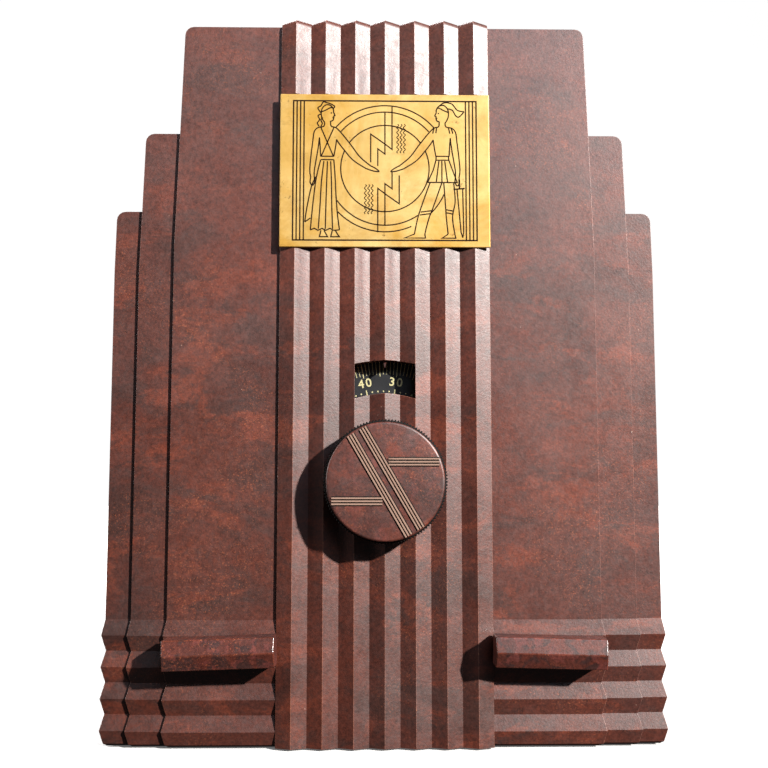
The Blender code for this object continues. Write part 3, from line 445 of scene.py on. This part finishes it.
pleat_top = shell_low.z + PLEATS * FLUTE
refined("cabinet_shell", 0.55 * MM, 3, looks["bakelite"], wear_and_glint_edges=looks["bakelite_edge_glint_and_wear"], crease=pleat_top)
refined("escutcheon_plate", 0.25 * MM, 2, looks["brass"])
for bar in ("volume_bar_knob", "tone_bar_knob"):
    refined(bar, 0.4 * MM, 3, looks["bakelite_bars"], wear_and_glint_edges=looks["bar_edge_wear_and_glint"])
refined("back_cover", 0.3 * MM, 1, looks["fibre"])


def window_pointer():
    """The small moulded tooth that points at the dial from the top of the window."""
    bm = bmesh.new()
    top = tuning_z + 48.9 * MM
    front = shell_low.y + 1.8 * MM
    outline = [(-0.8 * MM, top), (0.8 * MM, top), (0.15 * MM, top - 2.9 * MM), (-0.15 * MM, top - 2.9 * MM)]
    rings = [[bm.verts.new((x, y, z)) for x, z in outline] for y in (front, front + 4 * MM)]
    for k in range(4):
        n = (k + 1) % 4
        bm.faces.new((rings[0][k], rings[0][n], rings[1][n], rings[1][k]))
    bm.faces.new(rings[0])
    bm.faces.new(rings[1][::-1])
    mesh_object("window_pointer", bm, looks["bakelite_bars"], "cabinet", smooth=False)


window_pointer()


# ---------------------------------------------------------------- engraving

PICTURE_HEIGHT = 66.0  # of the plate, in the picture's own units, which are centred on it
UNIT = (plate_high.z - plate_low.z) / PICTURE_HEIGHT
FIGURE_LINE = 0.52 * MM
SOLE = -29.0  # height of the figures' soles
ARM_PIT = (-14.0, -19.8)  # where a figure's arm starts, as drawn and as placed
ARM_STRETCH, BODY_STRETCH, HEIGHT_STRETCH = 1.29, 0.95, 1.045
RINGS_HALF = 25.0  # further out than this, the figures' bodies hide the rings
WAVE_STEPS = 48


def engrave(bm, points, width, closed=False, mirror=1):
    """Lays a filled line along points in the picture's units just proud of the plate."""
    middle = (plate_low.z + plate_high.z) / 2
    line = [(mirror * x * UNIT, middle + z * UNIT) for x, z in points]
    stroke(bm, line, width, plate_low.y - 0.03 * MM, 0.35 * MM, closed)


def placed(points):
    """Moves points of a figure out from the middle and up to full height, and stretches its arm to suit."""
    return [(ARM_PIT[1] + (x - ARM_PIT[0]) * (ARM_STRETCH if x > ARM_PIT[0] else BODY_STRETCH),
             SOLE + (z - SOLE) * HEIGHT_STRETCH) for x, z in points]


def figure_lines(tunic):
    """A standing figure in profile, one arm reaching out to the middle, in a tunic or else in a long robe."""
    lines = []
    if tunic:
        skirt = [(-21.5, 3.0), (-23.5, -2.0), (-25.2, -6.2), (-12.6, -6.2), (-14.6, -1.0), (-15.8, 3.0)]
        lines.append(skirt + [skirt[0]])
        lines += [[(-21.0 + k * 1.3, 2.6), (-23.4 + k * 2.5, -6.0)] for k in range(1, 4)]
        lines += [[(-21.5, 3.0), (-21.3, 4.6), (-15.9, 4.6), (-15.8, 3.0)]]
        lines += [curve_through([(-23.6, -6.2), (-24.2, -14.0), (-23.0, -20.5), (-24.0, -27.4)])]
        lines += [curve_through([(-19.2, -6.2), (-19.8, -14.0), (-20.2, -20.0), (-21.0, -27.4)])]
        lines += [curve_through([(-18.4, -6.2), (-15.8, -13.0), (-13.2, -20.0), (-11.6, -27.4)])]
        lines += [curve_through([(-13.4, -6.2), (-11.4, -13.0), (-9.4, -20.5), (-8.2, -27.4)])]
        lines += [[(-24.0, -27.4), (-24.4, -29.0), (-18.4, -29.0), (-21.0, -27.4)]]
        lines += [[(-11.6, -27.4), (-11.8, -29.0), (-5.0, -29.0), (-8.2, -27.4)]]
        lines += [[(-23.6, -18.0), (-20.2, -17.4)], [(-23.3, -19.2), (-20.1, -18.6)]]
        lines += [[(-13.8, -17.8), (-10.3, -18.4)], [(-13.4, -19.0), (-10.0, -19.6)]]
    else:
        lines += [curve_through([(-21.6, 3.0), (-23.4, -4.0), (-24.8, -14.0), (-26.0, -25.8)])]
        lines += [curve_through([(-15.8, 3.0), (-15.2, -4.0), (-14.6, -14.0), (-13.4, -25.8)])]
        lines += [curve_through([(-20.2, 2.4), (-21.2, -6.0), (-21.8, -16.0), (-22.5, -25.4)])]
        lines += [curve_through([(-18.6, 2.4), (-18.9, -6.0), (-19.2, -16.0), (-19.4, -25.4)])]
        lines += [curve_through([(-17.2, 2.4), (-16.8, -6.0), (-16.6, -16.0), (-16.2, -25.4)])]
        lines += [[(-26.0, -25.8), (-24.2, -25.2), (-22.6, -26.0), (-20.8, -25.2), (-19.2, -26.0), (-17.4, -25.2),
                   (-15.6, -26.0), (-13.4, -25.8)]]
        lines += [[(-21.6, 3.0), (-15.8, 3.0)], [(-21.7, 4.4), (-15.7, 4.4)]]
        for heel in (-22.0, -17.0):
            lines += [[(heel + 0.7, -26.0), (heel, -28.6), (heel + 3.6, -28.6), (heel + 3.0, -27.6),
                       (heel + 2.0, -26.0)]]
        lines += [curve_through([(-23.6, -4.0), (-25.6, -8.0), (-27.6, -17.0), (-28.4, -22.6)]),
                  [(-28.4, -22.6), (-26.0, -21.0)]]
    # torso, shoulders and neck
    lines += [curve_through([(-21.6, 4.4), (-21.9, 8.6), (-22.2, 12.2)])]
    lines += [curve_through([(-15.8, 4.4), (-15.0, 8.6), (-14.6, 11.4)])]
    lines += [curve_through([(-19.9, 18.4), (-20.4, 16.8), (-23.0, 16.2), (-24.6, 14.4), (-25.2, 10.2), (-26.0, 4.0),
                             (-26.4, -1.2), (-26.0, -4.2)])]
    lines += [curve_through([(-22.2, 12.2), (-22.8, 7.6), (-23.8, 2.0), (-24.4, -1.6), (-24.4, -4.2)])]
    lines += [curve_through([(-26.0, -4.2), (-26.2, -6.4), (-25.2, -7.6), (-24.2, -6.2), (-24.4, -4.2)])]
    lines += [curve_through([(-17.3, 18.6), (-17.0, 16.9), (-14.8, 16.2), (-13.0, 14.2), (-9.8, 9.2), (-6.8, 4.2),
                             (-3.4, 0.6)])]
    lines += [curve_through([(-14.6, 11.4), (-12.2, 7.4), (-9.0, 2.8), (-4.8, -0.6)])]
    lines += [curve_through([(-3.4, 0.6), (-1.6, -0.6), (-0.6, -1.8), (-2.4, -1.6), (-4.8, -0.6)])]
    # head in profile: a plain oval with a straight nose, and a fillet round the hair
    lines += [curve_through([(-19.9, 18.4), (-20.8, 19.6), (-21.5, 21.8), (-21.0, 24.4), (-19.2, 25.8), (-17.2, 25.4),
                             (-16.1, 23.9), (-16.0, 22.7), (-15.4, 21.4), (-15.9, 21.1), (-15.9, 20.3), (-16.3, 19.3),
                             (-17.3, 18.9), (-17.3, 18.6)], 3)]
    lines += [[(-17.3, 22.4), (-16.7, 22.4)], [(-16.5, 20.4), (-15.9, 20.4)]]
    lines += [curve_through([(-21.5, 22.8), (-19.4, 23.6), (-17.4, 24.6), (-16.3, 24.5)], 3)]
    if tunic:
        lines += [curve_through([(-17.4, 25.5), (-19.6, 26.9), (-23.0, 26.4), (-25.4, 23.8), (-28.4, 23.2)], 4)]
        lines += [curve_through([(-21.0, 24.4), (-23.2, 23.8), (-24.6, 21.6), (-26.2, 21.0), (-28.4, 23.2)], 4)]
        lines += [[(-22.6, 16.4), (-23.4, 14.0)], [(-21.4, 16.6), (-22.0, 14.0)], [(-16.2, 16.7), (-15.8, 14.2)],
                  [(-15.0, 16.4), (-14.4, 14.0)]]
    else:
        lines += [curve_through([(-21.6, 22.4), (-23.0, 24.4), (-21.6, 25.4), (-20.6, 27.0), (-19.2, 26.7)], 4)]
        lines += [curve_through([(-19.2, 26.7), (-17.6, 26.3), (-15.6, 25.2), (-16.2, 24.2)], 4)]
        lines += [curve_through([(-21.4, 22.0), (-22.9, 21.2), (-22.2, 19.6), (-23.2, 18.2), (-22.4, 16.8)], 4)]
        lines += [curve_through([(-20.9, 20.6), (-21.6, 19.4), (-21.0, 18.0), (-21.6, 16.8)], 4)]
        lines += [[(-21.6, 16.4), (-16.0, 4.4)], [(-15.8, 16.4), (-21.4, 4.4)]]
    return lines


# what the figures cover, as closed outlines
ROBED_BODY = (
    [(-21.7, 4.4), (-23.4, -4.0), (-24.8, -14.0), (-26.0, -25.8), (-13.4, -25.8), (-14.6, -14.0), (-15.2, -4.0),
     (-15.8, 4.4)],
)
TUNIC_BODY = (
    [(-21.5, 4.6), (-25.2, -6.2), (-12.6, -6.2), (-15.8, 4.6)],
    [(-23.6, -6.2), (-24.2, -14.0), (-23.0, -20.5), (-24.0, -29.0), (-18.4, -29.0), (-20.2, -20.0), (-19.2, -6.2)],
    [(-18.4, -6.2), (-15.8, -13.0), (-13.2, -20.0), (-11.8, -29.0), (-5.0, -29.0), (-9.4, -20.5), (-13.4, -6.2)],
)
UPPER_BODY = (
    [(-21.7, 4.4), (-22.2, 12.2), (-24.6, 14.4), (-19.9, 18.4), (-17.3, 18.6), (-14.8, 16.2), (-14.6, 11.4),
     (-15.8, 4.4)],
    [(-14.8, 16.2), (-9.8, 9.2), (-6.8, 4.2), (-3.4, 0.6), (-0.6, -1.8), (-4.8, -0.6), (-9.0, 2.8), (-12.2, 7.4),
     (-14.6, 11.4)],
    [(-21.5, 21.8), (-19.2, 25.8), (-16.0, 24.0), (-15.4, 21.4), (-16.3, 19.3), (-17.3, 18.4), (-19.9, 18.4)],
)


def within(point, polygon):
    """Whether a point lies inside a polygon."""
    x, z = point
    inside = False
    for (x0, z0), (x1, z1) in zip(polygon, polygon[1:] + polygon[:1]):
        if (z0 > z) != (z1 > z) and x < x0 + (z - z0) / (z1 - z0) * (x1 - x0):
            inside = not inside
    return inside


def hidden(point):
    """Whether the figures stand in front of a point of the background rings."""
    x, z = point
    if abs(x) > RINGS_HALF:
        return True
    robed = any(within((x, z), placed(part)) for part in ROBED_BODY + UPPER_BODY)
    return robed or any(within((-x, z), placed(part)) for part in TUNIC_BODY + UPPER_BODY)


def visible_runs(points):
    """The stretches of a line that the figures leave visible."""
    runs, run = [], []
    for point in points:
        if hidden(point):
            if len(run) > 1:
                runs.append(run)
            run = []
        else:
            run.append(point)
    if len(run) > 1:
        runs.append(run)
    return runs


def make_engraving():
    """The plate's picture: frame, side columns, rings, zigzag bolts, waves, a sword and two plain figures."""
    bm = bmesh.new()
    half_x, half_z = 38.6, 30.0
    engrave(bm, [(-half_x, half_z), (half_x, half_z), (half_x, -half_z), (-half_x, -half_z)], 0.62 * MM, closed=True)
    for side in (-1, 1):
        for k in range(1, 4):
            x = half_x - 1.5 * k
            engrave(bm, [(x, half_z), (x, -half_z)], 0.56 * MM, mirror=side)
    for radius in (27.2, 24.4, 18.6):
        for run in visible_runs(arc((0.0, 0.8), radius, -90, 270, 240)):
            engrave(bm, run, FIGURE_LINE)
    bolt = [(3.0, 27.8), (3.0, 9.0), (-0.4, 11.6), (-6.0, 15.6), (-6.0, 3.4)]
    inner = [(0.0, 25.0), (0.0, 7.0), (-3.0, 9.2), (-3.0, 1.8)]
    for line in (bolt, inner):
        engrave(bm, line, FIGURE_LINE)
        engrave(bm, [(-x, 1.2 - z) for x, z in line], FIGURE_LINE)
    for k in range(3):
        for sign in (-1, 1):
            wave = []
            for step in range(WAVE_STEPS + 1):
                z = 20.0 - step * 12.6 / WAVE_STEPS
                x = 5.4 + k * 1.4 + 0.42 * math.sin(step * math.pi / 4)
                wave.append((x, z) if sign > 0 else (-x, 1.2 - z))
            engrave(bm, wave, 0.36 * MM)
    for line in figure_lines(tunic=False):
        engrave(bm, placed(line), FIGURE_LINE)
    for line in figure_lines(tunic=True):
        engrave(bm, placed(line), FIGURE_LINE, mirror=-1)
    engrave(bm, [(30.3, -8.0), (31.9, -26.5), (32.6, -28.8)], FIGURE_LINE)
    engrave(bm, [(32.6, -28.8), (33.0, -26.5), (32.7, -7.8)], FIGURE_LINE)
    engrave(bm, [(28.8, -8.1), (33.6, -7.7)], 0.62 * MM)
    engrave(bm, [(31.4, -7.8), (31.2, -3.8)], 0.62 * MM)
    mesh_object("plate_engraving", bm, looks["lines"], "cabinet", smooth=False)


make_engraving()


# ---------------------------------------------------------------- dial

DIVISION = 1.8  # degrees that one division of the scale turns
FIGURES_RADIUS = 40.6 * MM
RIM_RADIUS = 50.4 * MM


def dial_point(radius, reading):
    """A point on the dial. Higher readings lie to the left of the window's middle."""
    turn = math.radians(90 + (reading - READING) * DIVISION)
    return (radius * math.cos(turn), tuning_z + radius * math.sin(turn))


def make_dial_marks():
    """A ring of divisions at the rim, figures from 0 to 100 inside it, and a ring of dots and tens inside those."""
    bm = bmesh.new()
    front = dial_low.y - 0.06 * MM
    thick = 0.12 * MM
    for reading in range(101):
        long_mark = reading % 5 == 0
        stroke(bm, [dial_point((42.9 if long_mark else 43.7) * MM, reading), dial_point(RIM_RADIUS, reading)],
               (0.34 if long_mark else 0.24) * MM, front, thick)
        if reading % 10 == 0:
            stroke(bm, [dial_point(34.6 * MM, reading), dial_point(37.8 * MM, reading)], 0.42 * MM, front, thick)
        elif reading % 2 == 0:
            stroke(bm, [dial_point(36.4 * MM, reading), dial_point(37.0 * MM, reading)], 0.5 * MM, front, thick)
    mesh_object("dial_divisions", bm, looks["dial_marks"], "tuning", smooth=False)
    for reading in range(0, 101, 10):
        figure = bpy.data.curves.new(f"dial_figure_{reading}", "FONT")
        figure.body = str(reading)
        figure.size = 4.9 * MM
        figure.align_x = "CENTER"
        figure.align_y = "CENTER"
        figure.extrude = thick / 2
        figure.offset = 0.07 * MM
        figure.space_character = 1.28
        drawn = bpy.data.objects.new("figure", figure)
        bpy.context.scene.collection.objects.link(drawn)
        x, z = dial_point(FIGURES_RADIUS, reading)
        drawn.matrix_world = (Matrix.Translation((x, front + thick / 2, z))
                              @ Matrix.Rotation(-math.radians((reading - READING) * DIVISION), 4, "Y")
                              @ Matrix.Rotation(math.pi / 2, 4, "X"))
        bpy.context.view_layer.update()
        shape = bpy.data.meshes.new_from_object(drawn.evaluated_get(bpy.context.evaluated_depsgraph_get()))
        shape.transform(drawn.matrix_world)
        bpy.data.objects.remove(drawn)
        bm = bmesh.new()
        bm.from_mesh(shape)
        bmesh.ops.remove_doubles(bm, verts=bm.verts, dist=1e-6)
        mesh_object(f"dial_figure_{reading}", bm, looks["dial_marks"], "tuning", smooth=False)


make_dial_marks()


# ---------------------------------------------------------------- tuning knob

KNOB_RADIUS = (knob_high.x - knob_low.x) / 2
KNOB_FACE = knob_low.y + 0.26 * MM  # the flat of its face, behind the pattern's ridges
FACE_RADIUS = KNOB_RADIUS - 1.2 * MM
SERRATIONS = 120


def knob_ring(bm, radius, y, groove):
    """A ring of vertices about the tuning axis with fine grooves cut into it."""
    count = SERRATIONS * 4
    ring = []
    for k in range(count):
        reach = radius - (groove if k % 4 in (1, 2) else 0)
        turn = 2 * math.pi * k / count
        ring.append(bm.verts.new((reach * math.cos(turn), y, tuning_z + reach * math.sin(turn))))
    return ring


def knob_body(sections):
    """A closed body through rings of (radius, y, depth of groove)."""
    bm = bmesh.new()
    rings = [knob_ring(bm, *section) for section in sections]
    for one, two in zip(rings, rings[1:]):
        for k in range(len(one)):
            n = (k + 1) % len(one)
            bm.faces.new((one[k], one[n], two[n], two[k]))
    bm.faces.new(rings[0])
    bm.faces.new(rings[-1])
    return bm


def make_knob():
    """The knob: a nearly black serrated skirt, and a flat face disc with a rounded edge in front of it."""
    r, rear, front = KNOB_RADIUS, knob_high.y, knob_low.y
    skirt = [
        (3.5 * MM, rear - 8.0 * MM, 0), (3.6 * MM, rear - 0.2 * MM, 0), (8.6 * MM, rear - 0.2 * MM, 0),
        (9.0 * MM, rear - 8.6 * MM, 0), (19.6 * MM, rear - 8.4 * MM, 0), (20.2 * MM, rear - 0.4 * MM, 0),
        (20.6 * MM, rear, 0), (r - 0.8 * MM, rear, 0), (r - 0.25 * MM, rear - 0.4 * MM, 0.2 * MM),
        (r, rear - 0.9 * MM, 0.55 * MM), (r, front + 3.3 * MM, 0.55 * MM),
        (r - 0.1 * MM, front + 2.9 * MM, 0.45 * MM),
        (r - 0.5 * MM, front + 2.5 * MM, 0.3 * MM), (r - 1.0 * MM, front + 2.4 * MM, 0),
        (r - 1.7 * MM, front + 2.9 * MM, 0),
    ]
    mesh_object("tuning_knob_skirt", knob_body(skirt), looks["knob_near_black"], "tuning",
                replaces=("tuning_knob",))
    r = FACE_RADIUS
    face = [
        (r - 0.3 * MM, front + 3.1 * MM, 0), (r - 0.05 * MM, front + 2.4 * MM, 0), (r, front + 1.2 * MM, 0),
        (r - 0.08 * MM, front + 0.78 * MM, 0), (r - 0.28 * MM, front + 0.48 * MM, 0),
        (r - 0.6 * MM, front + 0.32 * MM, 0), (r - 1.0 * MM, KNOB_FACE, 0), (10.0 * MM, KNOB_FACE, 0),
    ]
    mesh_object("tuning_knob_face", knob_body(face), looks["bakelite_knob"], "tuning")


def make_knob_lines():
    """Two slanting bands of three ridges and a level band each side, a plain pattern that half a turn repeats."""
    ridges, grooves = bmesh.new(), bmesh.new()
    reach = FACE_RADIUS / MM - 0.35

    def triple(points):
        """Three ridges beside each other in a dark strip."""
        strip = [(x * MM, tuning_z + z * MM) for x, z in points]
        stroke(grooves, strip, 3.8 * MM, KNOB_FACE - 0.03 * MM, 0.2 * MM)
        for shift in (-1.15, 0.0, 1.15):
            line = [(x * MM, tuning_z + z * MM) for x, z in offset_line(points, shift)]
            stroke(ridges, line, 0.78 * MM, KNOB_FACE - 0.5 * MM, 0.75 * MM, slope=0.12 * MM)

    lean = math.radians(30.3)
    along = Vector((math.sin(lean), -math.cos(lean)))
    across = Vector((math.cos(lean), math.sin(lean)))
    apart = 2.75
    half = math.sqrt(reach ** 2 - (apart + 1.6) ** 2)
    for side in (-1, 1):
        start = across * apart * side - along * half
        triple([tuple(start), tuple(start + along * 2 * half)])
        level = 7.6 * side
        near = (apart + 2.1) * side / math.cos(lean) - level * math.tan(lean)
        far = math.sqrt(reach ** 2 - (abs(level) + 1.6) ** 2) * side
        triple([(near, level), (far, level)])
    mesh_object("tuning_knob_grooves", grooves, looks["knob_near_black"], "tuning", smooth=False)
    mesh_object("tuning_knob_pattern", ridges, looks["knob_ridges"], "tuning", smooth=False)


def offset_line(points, shift):
    """A line moved sideways by shift, with its corners kept square."""
    flat = [Vector(point) for point in points]
    moved = []
    for k, here in enumerate(flat):
        ways = []
        if k:
            ways.append((here - flat[k - 1]).normalized())
        if k < len(flat) - 1:
            ways.append((flat[k + 1] - here).normalized())
        normals = [Vector((-w.y, w.x)) for w in ways]
        out = sum(normals, Vector((0, 0))).normalized()
        moved.append(tuple(here + out * shift / max(0.35, out.dot(normals[0]))))
    return moved


make_knob()
make_knob_lines()


# ---------------------------------------------------------------- back, feet and cloth

def make_cloth():
    """The grille cloth, stretched flat behind the cover's slots, with a fine ripple over the slots."""
    centre = (cloth_low + cloth_high) / 2
    radius = (cloth_high.x - cloth_low.x) / 2
    bm = bmesh.new()
    steps, circles = 48, 12
    rings = []
    for circle in range(1, circles + 1):
        ring = []
        for k in range(steps):
            t = 2 * math.pi * k / steps
            x, z = radius * circle / circles * math.cos(t), radius * circle / circles * math.sin(t)
            ring.append((centre.x + x, centre.y + 0.05 * MM * math.cos(2 * math.pi * x / FLUTE), centre.z + z))
        rings.append([bm.verts.new(point) for point in ring])
    middle = bm.verts.new(centre)
    for k in range(steps):
        n = (k + 1) % steps
        bm.faces.new((middle, rings[0][k], rings[0][n]))
    for one, two in zip(rings, rings[1:]):
        for k in range(steps):
            n = (k + 1) % steps
            bm.faces.new((one[k], two[k], two[n], one[n]))
    piece = mesh_object("grille_cloth_woven", bm, looks["cloth"], "cabinet", replaces=("grille_cloth",))
    thick = piece.modifiers.new("thickness", "SOLIDIFY")
    thick.thickness = 0.4 * MM
    thick.offset = 0


def make_feet():
    """Felt pads with a soft lower edge."""
    for k in range(1, 5):
        low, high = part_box(f"felt_foot_{k}")
        radius = (high.x - low.x) / 2
        centre = ((low.x + high.x) / 2, (low.y + high.y) / 2, 0)
        profile = [(0, low.z), (radius - 0.5 * MM, low.z), (radius, low.z + 0.4 * MM), (radius, high.z - 0.3 * MM),
                   (radius - 0.3 * MM, high.z), (0, high.z)]
        bm = lathe(profile, 40, centre, "Z")
        mesh_object(f"felt_foot_{k}_soft", bm, looks["felt"], "cabinet", replaces=(f"felt_foot_{k}",))


def make_cover_screws():
    """Slotted round heads for the four cover screws."""
    for k in range(1, 5):
        low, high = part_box(f"back_cover_screw_{k}")
        centre = ((low.x + high.x) / 2, 0, (low.z + high.z) / 2)
        radius = (high.z - low.z) / 2
        head = high.y - 2.3 * MM
        profile = [(0, low.y), (1.3 * MM, low.y + 1 * MM), (1.3 * MM, head), (radius, head), (radius, head + 0.4 * MM)]
        profile += [(radius * math.cos(math.radians(t)), head + 0.4 * MM + 1.9 * MM * math.sin(math.radians(t)))
                    for t in (15, 30, 45, 60, 75)]
        profile.append((0, head + 2.3 * MM))
        screw = mesh_object(f"back_cover_screw_{k}_slotted", lathe(profile, 28, centre), looks["plated_steel"],
                            "cabinet", replaces=(f"back_cover_screw_{k}",))
        turn = math.radians((20, 75, 130, 48)[k - 1])
        bm = bmesh.new()
        place = (Matrix.Translation((centre[0], high.y, centre[2])) @ Matrix.Rotation(turn, 4, "Y")
                 @ Matrix.Diagonal((9 * MM, 2.0 * MM, 0.9 * MM, 1)))
        bmesh.ops.create_cube(bm, size=1, matrix=place)
        blade = bpy.data.meshes.new("slot")
        bm.to_mesh(blade)
        bm.free()
        cutter = bpy.data.objects.new("slot_cutter", blade)
        bpy.context.scene.collection.objects.link(cutter)
        cut = screw.modifiers.new("slot", "BOOLEAN")
        cut.operation = "DIFFERENCE"
        cut.object = cutter
        bpy.context.view_layer.update()
        final = bpy.data.meshes.new_from_object(screw.evaluated_get(bpy.context.evaluated_depsgraph_get()))
        screw.modifiers.clear()
        screw.data = final
        bpy.data.objects.remove(cutter)


make_cloth()
make_feet()
make_cover_screws()


# ---------------------------------------------------------------- stage, light and camera

def make_stage():
    """A pale floor that fades into a white surround."""
    scene = bpy.context.scene
    floor_look = Look("pale_floor")
    x, y, _ = floor_look.axes()
    far = floor_look.maths("POWER", floor_look.maths("ADD", floor_look.maths("MULTIPLY", x, x),
                                                     floor_look.maths("MULTIPLY", y, y)), 0.5)
    glow = floor_look.band(far, 0.30, 1.3, 0.12, 0.9)
    floor_look.set(Base_Color=(0.88, 0.87, 0.86, 1), Roughness=0.9, Emission_Color=(1, 1, 1, 1),
                   Emission_Strength=glow)
    bm = bmesh.new()
    bmesh.ops.create_circle(bm, cap_ends=True, segments=64, radius=3.0)
    mesh = bpy.data.meshes.new("floor")
    bm.to_mesh(mesh)
    bm.free()
    floor = bpy.data.objects.new("floor", mesh)
    mesh.materials.append(floor_look.material)
    scene.collection.objects.link(floor)
    floor.visible_diffuse = False
    floor.visible_glossy = False

    surround_look = Look("surround")
    surround_look.set(Base_Color=(0, 0, 0, 1), Roughness=1.0, Emission_Color=(1, 1, 1, 1), Emission_Strength=1.0)
    bm = bmesh.new()
    bmesh.ops.create_icosphere(bm, subdivisions=4, radius=3.2)
    mesh = bpy.data.meshes.new("surround")
    bm.to_mesh(mesh)
    bm.free()
    surround = bpy.data.objects.new("surround", mesh)
    mesh.materials.append(surround_look.material)
    scene.collection.objects.link(surround)
    for ray in ("diffuse", "glossy", "transmission", "shadow", "volume_scatter"):
        setattr(surround, f"visible_{ray}", False)

    world = bpy.data.worlds.new("soft_light")
    world.use_nodes = True
    world.node_tree.nodes["Background"].inputs["Color"].default_value = (0.93, 0.96, 1.0, 1)
    world.node_tree.nodes["Background"].inputs["Strength"].default_value = 0.028
    scene.world = world


def make_lights():
    """A low sun from the right, as in the photo, a bluish sky over the camera, and fills at the left and behind."""
    scene = bpy.context.scene
    key = bpy.data.lights.new("key", "SUN")
    key.energy = 7.8
    key.angle = math.radians(2.2)
    key.color = (1.0, 0.965, 0.92)
    lamp = bpy.data.objects.new("key", key)
    toward = Vector((0.66, -0.61, 0.44))
    lamp.rotation_euler = toward.to_track_quat("Z", "Y").to_euler()
    scene.collection.objects.link(lamp)
    areas = (  # name, place, diameter, watts, colour
        ("sky", (0.50, -1.18, 1.20), 1.15, 7.4, (0.72, 0.83, 1.0)),
        ("fill_left", (-1.4, 0.05, 0.6), 0.9, 14.0, (1.0, 1.0, 1.0)),
        ("fill_back", (-0.6, 1.25, 1.65), 1.4, 46.0, (1.0, 1.0, 1.0)),
    )
    for name, place, size, power, colour in areas:
        area = bpy.data.lights.new(name, "AREA")
        area.color = colour
        area.shape = "DISK"
        area.size = size
        area.energy = power
        lamp = bpy.data.objects.new(name, area)
        lamp.location = place
        aim = Vector((0, 0, 0.15)) - Vector(place)
        lamp.rotation_euler = aim.to_track_quat("-Z", "Y").to_euler()
        scene.collection.objects.link(lamp)


def make_camera():
    """Close in front, level with the dial and looking up a little."""
    data = bpy.data.cameras.new("camera")
    data.lens = 45.46
    data.sensor_width = 36
    camera = bpy.data.objects.new("camera", data)
    camera.location = (-0.0065, -0.472, 0.1077)
    pitch, yaw = math.radians(5.3), math.radians(-0.9)
    camera.rotation_euler = (math.pi / 2 + pitch, 0, yaw)
    bpy.context.scene.collection.objects.link(camera)
    bpy.context.scene.camera = camera


make_stage()
make_lights()
make_camera()
bpy.context.scene.view_settings.view_transform = "Standard"
